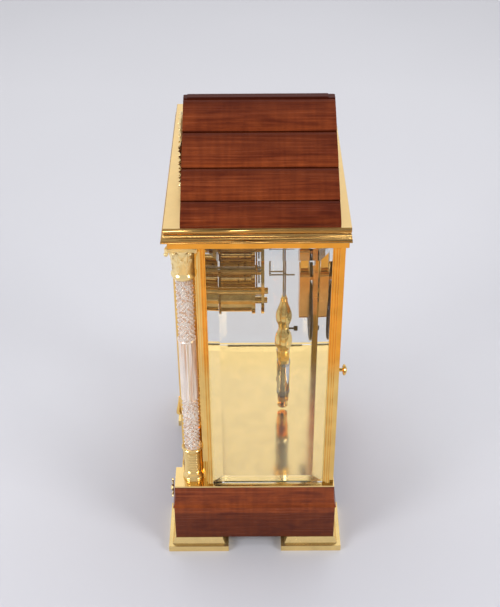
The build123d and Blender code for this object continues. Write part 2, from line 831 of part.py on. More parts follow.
ring_low = spread(crystal_low, crystal_top, crystal_ring_share)
flute_low = spread(crystal_low, crystal_top, flute_low_share)
with BuildPart() as crystal_columns:
    for side in (-1, 1):
        rod_along_z(side * column_x, column_y, crystal_radius, crystal_low, crystal_top)
        rod_along_z(side * column_x, column_y, crystal_radius + crystal_ring_proud, ring_low,
                    ring_low + crystal_ring_height)
    with BuildSketch(Plane.XY.offset(flute_low)):
        with Locations((-column_x, column_y), (column_x, column_y)):
            with PolarLocations(crystal_radius + flute_radius - flute_depth, flute_count):
                Circle(flute_radius)
    extrude(amount=ring_low - flute_low, mode=Mode.SUBTRACT)
save(crystal_columns, "crystal_columns")

with BuildPart() as column_capitals:
    for side in (-1, 1):
        turned(side * column_x, column_y, capital_low, capital_radius, capital_bell_height, capital_shares)
        with BuildSketch(Plane.XY.offset(abacus_low)) as abacus:
            with BuildLine() as edge:
                for quarter in range(4):
                    turn = Rotation(0, 0, quarter_turn * quarter)
                    tip = abacus_side / 2
                    start = Vector(tip, -tip + abacus_corner)
                    middle = Vector(tip - abacus_hollow, 0)
                    finish = Vector(tip, tip - abacus_corner)
                    corner = Vector(tip - abacus_corner, tip)
                    spots = [(turn * Location(spot)).position for spot in (start, middle, finish, corner)]
                    ThreePointArc(spots[0], spots[1], spots[2])
                    Line(spots[2], spots[3])
            make_face(edge.edges())
        plan = abacus.sketch.moved(Location((side * column_x, column_y, 0)))
        extrude(plan, amount=abacus_height)
        bar((side * column_x - abacus_block_side / 2, column_y - abacus_block_side / 2,
             abacus_low + abacus_height),
            (side * column_x + abacus_block_side / 2, column_y + abacus_block_side / 2, case_top))
        rod_along_z(side * column_x, column_y, crystal_radius + seat_gap, capital_low - overrun, crystal_top,
                    Mode.SUBTRACT)
    post_room_front = front_post_front - column_clearance
    post_room_inner = post_inner_x - column_clearance
    post_room_bevel = case_half_width - front_post_bevel + column_clearance / 2
    post_room_outer = case_half_width + column_clearance + overrun
    for side in (-1, 1):
        with BuildSketch(Plane.XY.offset(capital_low)) as post_room:
            outline_face([(side * post_room_inner, post_room_front), (side * post_room_bevel, post_room_front),
                          (side * post_room_outer, post_room_front + post_room_outer - post_room_bevel),
                          (side * post_room_outer, front_post_back), (side * post_room_inner, front_post_back)])
        extrude(post_room.sketch, amount=case_top - capital_low, mode=Mode.SUBTRACT)
save(column_capitals, "column_capitals")

# Frieze plate, with the opening under the hollow of the roof
frieze_middle = (frieze_front + frieze_back) / 2
with BuildPart() as frieze:
    bar((-case_half_width, frieze_front, case_top), (case_half_width, frieze_back, frieze_top))
    bar((-roof_opening_half, roof_opening[0], case_top), (roof_opening_half, roof_opening[1], frieze_top),
        Mode.SUBTRACT)
    rod_along_z(back_pin_x, back_pin_y, pin_radius + running_gap, case_top - overrun, case_top + pin_seat,
                Mode.SUBTRACT)
save(frieze, "frieze")

# Cornice: soffit, fillet and ogee under a plain fascia
def cornice_section(outset, height):
    """Draws one level of the cornice; it runs out less at the back."""
    with BuildSketch(Plane.XY.offset(height)) as level:
        with Locations((0, frieze_middle + outset * (cornice_back_share - 1) / 2)):
            Rectangle(2 * (case_half_width + outset),
                      frieze_back - frieze_front + outset * (1 + cornice_back_share))
    return level.sketch


with BuildPart() as cornice:
    levels = [cornice_section(cornice_flare * out, frieze_top + cornice_height * up)
              for out, up in cornice_shares]
    loft([level.face() for level in levels], ruled=True)
    groove_low = frieze_top + cornice_height * cornice_shares[-1][1]
    extrude(cornice_section(cornice_groove_outset, groove_low), amount=cornice_groove_height)
    fascia_low = groove_low + cornice_groove_height
    extrude(cornice_section(cornice_fascia, fascia_low), amount=cornice_level - fascia_low)
    bar((-case_half_width + cornice_wall, frieze_front + cornice_wall, frieze_top),
        (case_half_width - cornice_wall, frieze_back - cornice_wall, cornice_level - cornice_top),
        Mode.SUBTRACT)
    bar((-roof_opening_half, roof_opening[0], frieze_top), (roof_opening_half, roof_opening[1], cornice_level),
        Mode.SUBTRACT)
save(cornice, "cornice")

# Pediment roof: two slopes of four convex courses, gable boards and a ridge
slope_rise_share = (roof_ridge_z - ridge_height - roof_eave_z) / (roof_half_width - roof_ridge_half)
slope_drop = roof_board * math.hypot(1, slope_rise_share)
slope_top_z = roof_ridge_z - ridge_height
inner_top_z = slope_top_z - slope_drop
inner_eave_x = roof_ridge_half + (inner_top_z - cornice_level) / slope_rise_share
courses = [(spread(roof_half_width, roof_ridge_half, share), spread(roof_eave_z, slope_top_z, share))
           for share in course_shares]
with BuildPart() as roof_slopes:
    with BuildSketch(upright(0, roof_back, 0)) as section:
        with BuildLine() as edge:
            Line((roof_half_width, cornice_level), courses[0])
            for low, high in zip(courses, courses[1:]):
                chord = math.hypot(low[0] - high[0], low[1] - high[1])
                SagittaArc(low, high, -course_bulge_share * chord)
            Polyline(courses[-1], (roof_ridge_half, inner_top_z), (inner_eave_x, cornice_level),
                     (roof_half_width, cornice_level))
        make_face()
    extrude(amount=roof_back - roof_front)
    mirror(about=Plane.YZ)
save(roof_slopes, "roof_slopes")

with BuildPart() as roof_gables:
    for back in (roof_front + gable_thickness, roof_back):
        with BuildSketch(upright(0, back, 0)) as board:
            outline_face([(-inner_eave_x + seat_gap, cornice_level), (inner_eave_x - seat_gap, cornice_level),
                          (roof_ridge_half, inner_top_z - seat_gap), (-roof_ridge_half, inner_top_z - seat_gap)])
        extrude(board.sketch, amount=gable_thickness)
save(roof_gables, "roof_gables")

with BuildPart() as roof_ridge:
    bar((-roof_ridge_half + seat_gap, roof_front, inner_top_z),
        (roof_ridge_half - seat_gap, roof_back, slope_top_z))
    bar((-ridge_half_width, roof_front + ridge_front_inset, slope_top_z),
        (ridge_half_width, roof_back - ridge_back_inset, roof_ridge_z))
save(roof_ridge, "roof_ridge")

# Gilt mount on the front gable: a wreath with a boss and a trailing scroll on either side
with BuildPart() as pediment_mount:
    with BuildSketch(upright(0, roof_front, wreath_z)):
        Circle(wreath_radius)
        Circle(wreath_inner_radius, mode=Mode.SUBTRACT)
        Rectangle(wreath_radius + wreath_inner_radius, scroll_wave)
        Circle(wreath_boss_radius)
    extrude(amount=wreath_relief)
    with BuildSketch(upright(0, roof_front, wreath_z)):
        for side in (-1, 1):
            for number in range(scroll_beads):
                share = number / (scroll_beads - 1)
                bead_radius = scroll_radius * spread(1, scroll_end_share, share)
                bead_x = spread(wreath_radius, scroll_reach - scroll_radius * scroll_end_share, share)
                bead_z = scroll_wave * math.sin(2 * math.pi * share) - scroll_drop * share
                with Locations((side * bead_x, bead_z)):
                    Circle(bead_radius)
    extrude(amount=scroll_relief)
save(pediment_mount, "pediment_mount")

# Movement plates, with bores for the arbors and holes for the pillars
pillar_spots = [(pillar_pitch_radius * math.cos(math.radians(angle)),
                 pillar_pitch_radius * math.sin(math.radians(angle))) for angle in pillar_degrees]
pivot_spots = [intermediate_at, third_at, (0, escape_rise), pin_wheel_at, fly_at]
barrel_spots = [(-barrel_x, -barrel_drop), (barrel_x, -barrel_drop)]
dial_foot_spots = [(dial_foot_pitch_radius * math.cos(math.radians(angle)),
                    dial_foot_pitch_radius * math.sin(math.radians(angle))) for angle in dial_foot_degrees]
click_spots = [(side * click_x, click_rise) for side in (-1, 1)]


def movement_plate(front, thickness, extra_bores):
    """A round plate; `extra_bores` pairs lists of places with the radius of their holes."""
    bores = [(pivot_spots, pivot_radius + running_gap), (barrel_spots, winding_radius + running_gap),
             ([(0, 0), hammer_at], arbor_radius + running_gap)]
    with BuildSketch(upright(0, front + thickness, movement_z)) as plate:
        Circle(plate_radius)
        for spots, radius in bores + extra_bores:
            with Locations(*spots):
                Circle(radius, mode=Mode.SUBTRACT)
    extrude(plate.sketch, amount=thickness)


with BuildPart() as movement_front_plate:
    movement_plate(front_plate_front, front_plate_thickness,
                   [([(0, anchor_rise)], pivot_radius + running_gap),
                    (dial_foot_spots, dial_foot_radius + seat_gap),
                    (click_spots, click_pin_radius + running_gap)])
    rod_along_y(minute_wheel_x, minute_wheel_z, minute_stud_radius, hour_wheel[0] - stud_proud,
                front_plate_front)
    rod_along_y(minute_wheel_x, minute_wheel_z, minute_pinion_radius, minute_wheel_span[1] + mesh_gap,
                front_plate_front)
save(movement_front_plate, "movement_front_plate")

with BuildPart() as movement_back_plate:
    movement_plate(back_plate_front, back_plate_thickness,
                   [([(0, anchor_rise)], arbor_radius + running_gap),
                    (pillar_spots, pillar_screw_neck + seat_gap)])
save(movement_back_plate, "movement_back_plate")

with BuildPart() as movement_pillars:
    for x, rise in pillar_spots:
        rod_along_y(x, movement_z + rise, pillar_radius, front_plate_back, back_plate_front)
        rod_along_y(x, movement_z + rise, pillar_screw_neck, back_plate_front, back_plate_back)
        rod_along_y(x, movement_z + rise, pillar_screw_radius, back_plate_back,
                    back_plate_back + pillar_screw_height)
save(movement_pillars, "movement_pillars")

# Straps that hang the movement from the frieze, with the cock of the pendulum spring
with BuildPart() as movement_hanger:
    strap_low = movement_z + plate_radius - hanger_lap
    for front in (front_plate_front - hanger_thickness, back_plate_back):
        bar((-hanger_half_width, front, strap_low), (hanger_half_width, front + hanger_thickness, case_top))
        bar((-hanger_slot_half, front, strap_low - overrun),
            (hanger_slot_half, front + hanger_thickness, case_top - hanger_lap), Mode.SUBTRACT)
    strap_back = back_plate_back + hanger_thickness
    bar((-hanger_half_width, strap_back, cock_low),
        (hanger_half_width, strap_back + hanger_thickness, cock_low + cock_height))
    bar((-cock_half_width, strap_back, cock_low),
        (cock_half_width, pendulum_y + cock_half_width, cock_low + cock_height))
    bar((-spring_thickness / 2 - spring_slack, pendulum_y - spring_width / 2 - spring_slack,
         cock_low - overrun),
        (spring_thickness / 2 + spring_slack, pendulum_y + spring_width / 2 + spring_slack,
         spring_top + spring_slack), Mode.SUBTRACT)
save(movement_hanger, "movement_hanger")


def barrel(x):
    """A hollow spring barrel with its great wheel in front and a plain flange behind."""
    with BuildSketch(upright(x, great_wheel[1], barrel_z)) as wheel:
        toothed_disc(great_wheel_teeth, great_wheel_radius, tooth_depth)
    extrude(wheel.sketch, amount=great_wheel[1] - great_wheel[0])
    rod_along_y(x, barrel_z, barrel_radius, great_wheel[1], barrel_flange[0])
    rod_along_y(x, barrel_z, barrel_flange_radius, barrel_flange[0], barrel_flange[1])
    rod_along_y(x, barrel_z, barrel_radius - barrel_wall, great_wheel[1], barrel_flange[0], Mode.SUBTRACT)
    rod_along_y(x, barrel_z, winding_radius + running_gap, great_wheel[0] - overrun,
                barrel_flange[1] + overrun, Mode.SUBTRACT)


def winding_arbor(x):
    """A barrel arbor with its ratchet wheel in front of the plate and a square for the key."""
    rod_along_y(x, barrel_z, winding_radius, ratchet[0], back_plate_back)
    rod_along_y(x, barrel_z, hook_radius, great_wheel[1] + seat_gap, barrel_flange[0] - seat_gap)
    with BuildSketch(upright(x, ratchet[0], barrel_z)) as square:
        Rectangle(winding_square, winding_square)
    extrude(square.sketch, amount=ratchet[0] - winding_end)
    with BuildSketch(upright(x, ratchet[1], barrel_z)) as wheel:
        toothed_disc(ratchet_teeth, ratchet_radius, ratchet_tooth)
    extrude(wheel.sketch, amount=ratchet[1] - ratchet[0])


with BuildPart() as going_barrel:
    barrel(barrel_x)
save(going_barrel, "going_barrel")

with BuildPart() as strike_barrel:
    barrel(-barrel_x)
save(strike_barrel, "strike_barrel")

with BuildPart() as going_arbor:
    winding_arbor(barrel_x)
save(going_arbor, "going_arbor")

with BuildPart() as strike_arbor:
    winding_arbor(-barrel_x)
save(strike_arbor, "strike_arbor")


def click(side):
    """A pawl on its pin in the front plate, with its toe just clear of the ratchet wheel."""
    x = side * click_x
    z = movement_z + click_rise
    rod_along_y(x, z, click_pin_radius, ratchet[0], front_plate_back)
    to_wheel = math.hypot(click_x - barrel_x, click_rise + barrel_drop)
    along = ((barrel_x - click_x) / to_wheel, (-barrel_drop - click_rise) / to_wheel)
    length = to_wheel - ratchet_radius - click_gap
    with BuildSketch(upright(x, ratchet[1], z)) as pawl:
        Circle(click_hub_radius)
        outline_face([(side * (-along[1] * click_hub_radius), along[0] * click_hub_radius),
                      (side * (along[1] * click_hub_radius), -along[0] * click_hub_radius),
                      (side * along[0] * length, along[1] * length)])
    extrude(pawl.sketch, amount=ratchet[1] - ratchet[0])


with BuildPart() as going_click:
    click(1)
save(going_click, "going_click")

with BuildPart() as strike_click:
    click(-1)
save(strike_click, "strike_click")

# Going train
with BuildPart() as intermediate_wheel:
    x = intermediate_at[0]
    z = movement_z + intermediate_at[1]
    train_arbor(x, z)
    train_wheel(x, z, intermediate_radius, rear_wheel_near, intermediate_teeth)
    pinion(x, z, great_pinion_radius, great_wheel, great_pinion_leaves)
save(intermediate_wheel, "intermediate_wheel")

with BuildPart() as centre_arbor:
    rod_along_y(0, movement_z, arbor_radius, minute_hand_front - hand_thickness - seat_gap, back_plate_back)
    train_wheel(0, movement_z, centre_wheel_radius, rear_wheel_far, centre_teeth)
    pinion(0, movement_z, centre_pinion_radius, rear_wheel_near, centre_leaves)
save(centre_arbor, "centre_arbor")

with BuildPart() as third_wheel:
    x = third_at[0]
    z = movement_z + third_at[1]
    train_arbor(x, z)
    train_wheel(x, z, third_radius, third_wheel_span, third_teeth)
    pinion(x, z, third_pinion_radius, rear_wheel_far, third_leaves)
save(third_wheel, "third_wheel")

with BuildPart() as escape_wheel:
    train_arbor(0, escape_z)
    train_wheel(0, escape_z, escape_radius, escape_wheel_span, escape_teeth, escape_tooth)
    pinion(0, escape_z, escape_pinion_radius, third_wheel_span, escape_leaves)
save(escape_wheel, "escape_wheel")

# Anchor over the escape wheel, and the crutch behind the back plate
with BuildPart() as anchor:
    rod_along_y(0, anchor_z, arbor_radius, front_plate_back + seat_gap, crutch_y)
    rod_along_y(0, anchor_z, pivot_radius, front_plate_front, front_plate_back + seat_gap)
    inner_arc = escape_radius + anchor_gap
    with BuildSketch(upright(0, escape_wheel_span[1], escape_z)) as frame:
        Circle(inner_arc + anchor_thickness)
        Circle(inner_arc, mode=Mode.SUBTRACT)
        with BuildLine() as wedge:
            Polyline((0, 0), (anchor_reach, anchor_reach), (0, 2 * anchor_rise), (-anchor_reach, anchor_reach),
                     close=True)
        make_face(wedge.edges(), mode=Mode.INTERSECT)
        with Locations((0, anchor_rise - escape_rise)):
            Circle(anchor_hub)
    extrude(frame.sketch, amount=escape_wheel_span[1] - escape_wheel_span[0])
    crutch_z = movement_z + crutch_rise
    rod_along_z(0, crutch_y, crutch_radius, crutch_z, anchor_z)
    bar((-prong_x - crutch_radius, crutch_y - crutch_radius, crutch_z - crutch_radius),
        (prong_x + crutch_radius, crutch_y + crutch_radius, crutch_z + crutch_radius))
    rod_along_y(prong_x, crutch_z, crutch_radius, crutch_y, crutch_long)
    rod_along_y(-prong_x, crutch_z, crutch_radius, crutch_y, crutch_short)
save(anchor, "anchor")

# Strike train
with BuildPart() as pin_wheel:
    x = pin_wheel_at[0]
    z = movement_z + pin_wheel_at[1]
    train_arbor(x, z)
    train_wheel(x, z, pin_wheel_radius, rear_wheel_near, pin_wheel_teeth)
    pinion(x, z, great_pinion_radius, great_wheel, great_pinion_leaves)
    with BuildSketch(upright(x, rear_wheel_near[1] + strike_pin_length, z)) as pins:
        with PolarLocations(pin_wheel_radius - train_tooth - wheel_rim / 2, strike_pins):
            Circle(strike_pin_radius)
    extrude(pins.sketch, amount=strike_pin_length)
save(pin_wheel, "pin_wheel")

with BuildPart() as fly:
    x = fly_at[0]
    z = movement_z + fly_at[1]
    train_arbor(x, z)
    pinion(x, z, fly_pinion_radius, rear_wheel_near, fly_leaves)
    bar((x - fly_radius, fly_span[0], z - fly_thickness / 2), (x + fly_radius, fly_span[1], z + fly_thickness / 2))
save(fly, "fly")

# Motion work behind the dial
with BuildPart() as cannon_pinion_pipe:
    with BuildSketch(upright(0, cannon_pinion[1], movement_z)) as leaves:
        toothed_disc(cannon_leaves, cannon_pinion_radius, pinion_tooth)
    extrude(leaves.sketch, amount=cannon_pinion[1] - cannon_pinion[0])
    rod_along_y(0, movement_z, minute_pipe_radius, minute_hand_front - hand_thickness, cannon_pinion[1])
    rod_along_y(0, movement_z, arbor_radius + seat_gap, minute_hand_front - hand_thickness - overrun,
                cannon_pinion[1] + overrun, Mode.SUBTRACT)
save(cannon_pinion_pipe, "cannon_pinion")

with BuildPart() as minute_wheel:
    train_wheel(minute_wheel_x, minute_wheel_z, minute_wheel_radius, minute_wheel_span, minute_wheel_teeth)
    with BuildSketch(upright(minute_wheel_x, minute_wheel_span[0], minute_wheel_z)) as leaves:
        toothed_disc(minute_leaves, minute_pinion_radius, pinion_tooth)
    extrude(leaves.sketch, amount=minute_wheel_span[0] - hour_wheel[0])
    rod_along_y(minute_wheel_x, minute_wheel_z, minute_stud_radius + running_gap, hour_wheel[0] - overrun,
                minute_wheel_span[1] + overrun, Mode.SUBTRACT)
save(minute_wheel, "minute_wheel")

with BuildPart() as hour_wheel_pipe:
    train_wheel(0, movement_z, hour_wheel_radius, hour_wheel, hour_wheel_teeth)
    rod_along_y(0, movement_z, hour_pipe_radius, hour_hand_front - hand_thickness, hour_wheel[1])
    rod_along_y(0, movement_z, minute_pipe_radius + running_gap, hour_hand_front - hand_thickness - overrun,
                hour_wheel[1] + overrun, Mode.SUBTRACT)
save(hour_wheel_pipe, "hour_wheel")

# Dial, bezel and hands
with BuildPart() as dial:
    with BuildSketch(upright(0, dial_back, movement_z)) as disc:
        Circle(dial_radius)
        Circle(dial_centre_hole, mode=Mode.SUBTRACT)
        with Locations(*barrel_spots):
            Circle(dial_hole_radius, mode=Mode.SUBTRACT)
    extrude(disc.sketch, amount=dial_thickness)
    for x, rise in dial_foot_spots:
        rod_along_y(x, movement_z + rise, dial_foot_radius, dial_back, front_plate_front + dial_foot_bite)
save(dial, "dial")

with BuildPart() as dial_bezel:
    rod_along_y(0, movement_z, bezel_radius - bezel_front_step, bezel_front, bezel_back)
    rod_along_y(0, movement_z, bezel_radius, dial_front, bezel_back)
    rod_along_y(0, movement_z, bezel_inner_radius, bezel_front - overrun, bezel_back + overrun, Mode.SUBTRACT)
    rod_along_y(0, movement_z, dial_radius + seat_gap, dial_front - seat_gap, bezel_back + overrun,
                Mode.SUBTRACT)
save(dial_bezel, "dial_bezel")


def hand(front, length, bore):
    """A leaf-shaped hand that points to twelve, with a hub around its pipe."""
    with BuildSketch(upright(0, front, movement_z)) as blade:
        Circle(hand_hub_radius)
        outline_face([(-hand_stem, -hand_tail), (hand_stem, -hand_tail), (hand_stem / 2, length / 2),
                      (hand_leaf / 2, length * hand_waist_share), (0, length),
                      (-hand_leaf / 2, length * hand_waist_share), (-hand_stem / 2, length / 2)])
        Circle(bore, mode=Mode.SUBTRACT)
    extrude(blade.sketch, amount=hand_thickness)


with BuildPart() as hour_hand:
    hand(hour_hand_front, hour_hand_length, hour_pipe_radius + seat_gap)
save(hour_hand, "hour_hand")

with BuildPart() as minute_hand:
    hand(minute_hand_front, minute_hand_length, minute_pipe_radius + seat_gap)
save(minute_hand, "minute_hand")

# Pendulum and its suspension
with BuildPart() as suspension_spring:
    bar((-spring_thickness / 2, pendulum_y - spring_width / 2, spring_low),
        (spring_thickness / 2, pendulum_y + spring_width / 2, spring_top))
save(suspension_spring, "suspension_spring")

with BuildPart() as pendulum_rod:
    rod_along_z(0, pendulum_y, rod_radius, ornament_z + ornament_height, spring_low)
    bar((-hook_half, pendulum_y - spring_width / 2 - hook_wall, spring_low - hook_height),
        (hook_half, pendulum_y + spring_width / 2 + hook_wall, spring_low))
save(pendulum_rod, "pendulum_rod")

yoke_low = ornament_z - yoke_height
with BuildPart() as pendulum_ornament:
    turned(0, pendulum_y, ornament_z, ornament_radius, ornament_height, ornament_shares)
    with BuildSketch(Plane.XY.offset(yoke_low)):
        with Locations((0, pendulum_y)):
            RectangleRounded(2 * yoke_half_width, 2 * yoke_half_depth, yoke_round)
    extrude(amount=yoke_height)
    rod_along_y(0, adjuster_z, adjuster_stem_radius + running_gap, pendulum_y, adjuster_front,
                Mode.SUBTRACT)
save(pendulum_ornament, "pendulum_ornament")

with BuildPart() as pendulum_adjuster:
    rod_along_y(0, adjuster_z, adjuster_stem_radius, pendulum_y + adjuster_stem_radius, adjuster_front)
    rod_along_y(0, adjuster_z, adjuster_radius, adjuster_front, adjuster_front + adjuster_length)
save(pendulum_adjuster, "pendulum_adjuster")

with BuildPart() as pendulum_jars:
    with BuildSketch(Plane.XY.offset(jar_z)):
        with Locations((-jar_offset, pendulum_y), (jar_offset, pendulum_y)):
            Circle(jar_radius)
    extrude(amount=yoke_low - jar_z)
    fillet(faces().group_by(Axis.Z)[0].edges(), jar_round)
save(pendulum_jars, "pendulum_jars")

with BuildPart() as jar_stirrup:
    with BuildSketch(Plane.XY.offset(jar_z - yoke_height)):
        with Locations((0, pendulum_y)):
            RectangleRounded(2 * yoke_half_width, 2 * yoke_half_depth, yoke_round)
    extrude(amount=yoke_height)
    rod_along_z(0, pendulum_y, thread_radius, floor_level + thread_low, yoke_low)
    rod_along_z(0, pendulum_y, neck_radius, floor_level + neck_low, jar_z)
save(jar_stirrup, "jar_stirrup")

with BuildPart() as rating_nut:
    turned(0, pendulum_y, floor_level + nut_low, nut_radius, nut_height, nut_shares)
    rod_along_z(0, pendulum_y, thread_radius + running_gap, floor_level, floor_level + neck_low,
                Mode.SUBTRACT)
save(rating_nut, "rating_nut")

# Gong stand between two hanging bars
with BuildPart() as gong_stand:
    block_low = movement_z - gong_block_drop
    block_high = movement_z
    with BuildSketch(upright(0, gong_block_back, (block_low + block_high) / 2)):
        RectangleRounded(2 * gong_block_half, block_high - block_low, gong_block_round)
    extrude(amount=gong_block_back - gong_block_front)
    plate_low = block_low + gong_plate_inset
    plate_high = block_high - 2 * gong_plate_inset
    bar((-gong_plate_half, gong_plate_front, plate_low), (gong_plate_half, gong_plate_back, plate_high))
    bar((-hanger_bar_half, hanger_bar_front[0], block_high - gong_block_round),
        (hanger_bar_half, hanger_bar_front[1], case_top))
    bar((-hanger_bar_half, hanger_bar_back[0], plate_high - gong_block_round),
        (hanger_bar_half, hanger_bar_back[1], case_top))
    rod_along_y(0, gong_z, gong_hub_radius, gong_block_back, gong_plate_front)
    bar((gong_start_radius - gong_lug_half, gong_block_back, gong_z),
        (gong_start_radius + gong_lug_half, gong_plate_front, gong_z + gong_lug_height))
    bar((-gong_lug_half, gong_block_back, stud_low - gong_lug_height),
        (gong_lug_half, gong_plate_front, stud_low))
save(gong_stand, "gong_stand")

with BuildPart() as gong_screws:
    for drop in gong_screw_drops:
        rod_along_y(0, movement_z - drop, gong_screw_radius, gong_plate_back,
                    gong_plate_back + gong_screw_height)
    rod_along_z(0, gong_y, gong_stud_radius, stud_low, stud_low + gong_stud_length)
save(gong_screws, "gong_screws")

# Coiled gong: one round wire bent in half circles that grow outwards
coil_points = []
with BuildPart() as coil_gong:
    with BuildLine(upright(0, gong_y, gong_z)) as coil_path:
        end = gong_start_radius
        for number in range(gong_half_turns):
            side = 1 if number % 2 == 0 else -1
            radius = gong_start_radius + number * gong_pitch / 2
            middle = end - side * radius
            CenterArc((middle, 0), radius, quarter_turn * (1 - side), -half_turn)
            end = middle - side * radius
    coil_edges = coil_path.edges()
    with BuildSketch(Plane(origin=coil_path.wire() @ 0, z_dir=coil_path.wire() % 0)):
        Circle(gong_wire_radius)
    sweep(path=coil_path.wire())
save(coil_gong, "coil_gong")

# Least gap between the turns of the gong, along a level line through its middle
crossings = sorted(abs(point.X) for edge in coil_edges for point in (edge @ 0, edge @ 1) if point.X > 0)
turn_gap = min(high - low for low, high in zip(crossings, crossings[1:]) if high - low > seat_gap)
print("coil_gong turns:", gong_half_turns / 2, "least gap between turns:", turn_gap - 2 * gong_wire_radius)

# Hammer that strikes the outer turn of the gong
with BuildPart() as hammer:
    x = hammer_at[0]
    z = movement_z + hammer_at[1]
    rod_along_y(x, z, arbor_radius, front_plate_back + seat_gap, gong_y)
    rod_along_y(x, z, pivot_radius, front_plate_front, front_plate_back + seat_gap)
    bar((hammer_x - hammer_arm_radius, gong_y - hammer_arm_radius, z - hammer_arm_radius),
        (x + arbor_radius, gong_y + hammer_arm_radius, z + hammer_arm_radius))
    rod_along_z(hammer_x, gong_y, hammer_arm_radius, hammer_z, z)
    with BuildSketch(Plane(origin=(hammer_x, gong_y, hammer_z), x_dir=(0, 1, 0), z_dir=(1, 0, 0))) as head:
        Circle(hammer_head_radius)
    extrude(head.sketch, amount=hammer_head_length / 2, both=True)
save(hammer, "hammer")
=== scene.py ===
"""Four glass mantel clock with a pediment roof and cut crystal corner columns, dressed on its CAD frame.

Metres, +Z up, front towards -Y. Sizes of new pieces come from the frame's boxes and from the settings below.
"""
import json
import math

import bmesh
import bpy
from mathutils import Matrix, Vector

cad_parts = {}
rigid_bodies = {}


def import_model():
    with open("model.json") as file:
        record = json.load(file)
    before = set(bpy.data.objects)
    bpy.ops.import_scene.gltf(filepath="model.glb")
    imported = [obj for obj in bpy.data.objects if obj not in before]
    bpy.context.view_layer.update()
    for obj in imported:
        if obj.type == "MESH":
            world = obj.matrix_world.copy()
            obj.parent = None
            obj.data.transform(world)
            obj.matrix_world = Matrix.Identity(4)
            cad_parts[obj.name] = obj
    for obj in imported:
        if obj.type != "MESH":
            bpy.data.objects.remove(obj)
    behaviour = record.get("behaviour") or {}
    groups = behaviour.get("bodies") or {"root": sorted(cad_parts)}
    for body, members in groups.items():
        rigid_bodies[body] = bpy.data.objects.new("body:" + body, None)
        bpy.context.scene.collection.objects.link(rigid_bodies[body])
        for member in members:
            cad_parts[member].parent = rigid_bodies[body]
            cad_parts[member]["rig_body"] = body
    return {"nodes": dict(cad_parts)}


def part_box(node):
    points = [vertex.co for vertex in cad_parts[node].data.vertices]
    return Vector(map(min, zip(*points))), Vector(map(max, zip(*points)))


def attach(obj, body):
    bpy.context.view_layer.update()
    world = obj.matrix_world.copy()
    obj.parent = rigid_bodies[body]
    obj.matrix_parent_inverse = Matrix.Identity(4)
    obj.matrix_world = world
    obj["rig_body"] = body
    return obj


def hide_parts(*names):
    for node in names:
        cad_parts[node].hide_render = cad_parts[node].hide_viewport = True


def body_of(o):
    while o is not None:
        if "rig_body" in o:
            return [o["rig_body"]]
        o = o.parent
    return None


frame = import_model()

bl_info = {
    "name": "Four Glass Mantel Clock",
    "version": (1, 0, 0),
    "blender": (4, 5, 0),
    "location": "3D View > Sidebar > Clock",
    "description": "Dresses a four glass mantel clock on its CAD frame and sets the studio round it",
    "category": "Object",
}

mm = 0.001
full_turn = 2 * math.pi


# Settings

def colour_setting(name, description, default):
    """A colour that a user would change."""
    return bpy.props.FloatVectorProperty(
        name=name, description=description, default=default, size=3, min=0.0, max=1.0, subtype="COLOR"
    )


def length_setting(name, description, default):
    """A length in metres that a user would change."""
    return bpy.props.FloatProperty(
        name=name, description=description, default=default, min=0.0, precision=5, unit="LENGTH"
    )


class ClockColours(bpy.types.PropertyGroup):
    """Colours of the clock's materials, linear."""

    wood_light: colour_setting("Light wood", "Light streaks of the mahogany", (0.33, 0.068, 0.013))
    wood_middle: colour_setting("Wood", "Main colour of the mahogany", (0.14, 0.0205, 0.0055))
    wood_dark: colour_setting("Dark wood", "Dark streaks of the mahogany", (0.05, 0.0065, 0.002))
    ridge_wood: colour_setting("Ridge wood", "Dark wood of the ridge cap", (0.06, 0.012, 0.006))
    gilt: colour_setting("Gilt", "Polished gilding", (1.0, 0.64, 0.19))
    satin_gilt: colour_setting("Satin gilt", "Matt gilding of the feet", (0.98, 0.72, 0.3))
    ornament_gilt: colour_setting("Ornament gilt", "Bright gilding of the pendulum", (1.0, 0.72, 0.26))
    leaf_gilt: colour_setting("Leaf gilt", "Bright gilding of cast leaves", (1.0, 0.79, 0.38))
    floor_brass: colour_setting("Case floor", "Polished brass floor of the case", (0.98, 0.71, 0.3))
    brass: colour_setting("Brass", "Brass of the movement", (0.78, 0.5, 0.17))
    steel: colour_setting("Steel", "Bright steel", (0.55, 0.55, 0.56))
    blued_steel: colour_setting("Blued steel", "Dark blued steel of the gong and the hands", (0.02, 0.022, 0.035))
    pane_tint: colour_setting("Pane tint", "Tint of the thick glass panes", (0.93, 0.945, 0.945))
    # The crystal's tint is also the colour of its painted glints, and the crystal shade is painted warm shade between
    # them.
    crystal_tint_and_glint: colour_setting("Crystal tint", "Bright flashes of the cut crystal", (1.0, 0.98, 0.96))
    crystal_painted_shade: colour_setting("Crystal shade", "Warm shade between the flashes", (0.8, 0.58, 0.43))
    enamel: colour_setting("Enamel", "White enamel of the dial", (0.86, 0.85, 0.81))
    ink: colour_setting("Ink", "Numbers and minute track", (0.01, 0.01, 0.012))
    mercury: colour_setting("Mercury", "Filling of the pendulum jars", (0.8, 0.81, 0.83))
    bronze: colour_setting("Bronze", "Warm brown metal of the gong stand", (0.85, 0.42, 0.12))
    # The cornice gilt is the polished gilt darkened as painted shade, for the darker reflections of the mouldings.
    cornice_gilt: colour_setting("Cornice gilt", "Deeper gilding of the cornice mouldings", (0.8, 0.48, 0.155))
    cornice_top: colour_setting("Cornice top", "Pale matt gilding on top of the cornice", (0.84, 0.6, 0.26))
    packing: colour_setting("Pane packing", "Dark strip that the side panes stand against", (0.13, 0.11, 0.035))


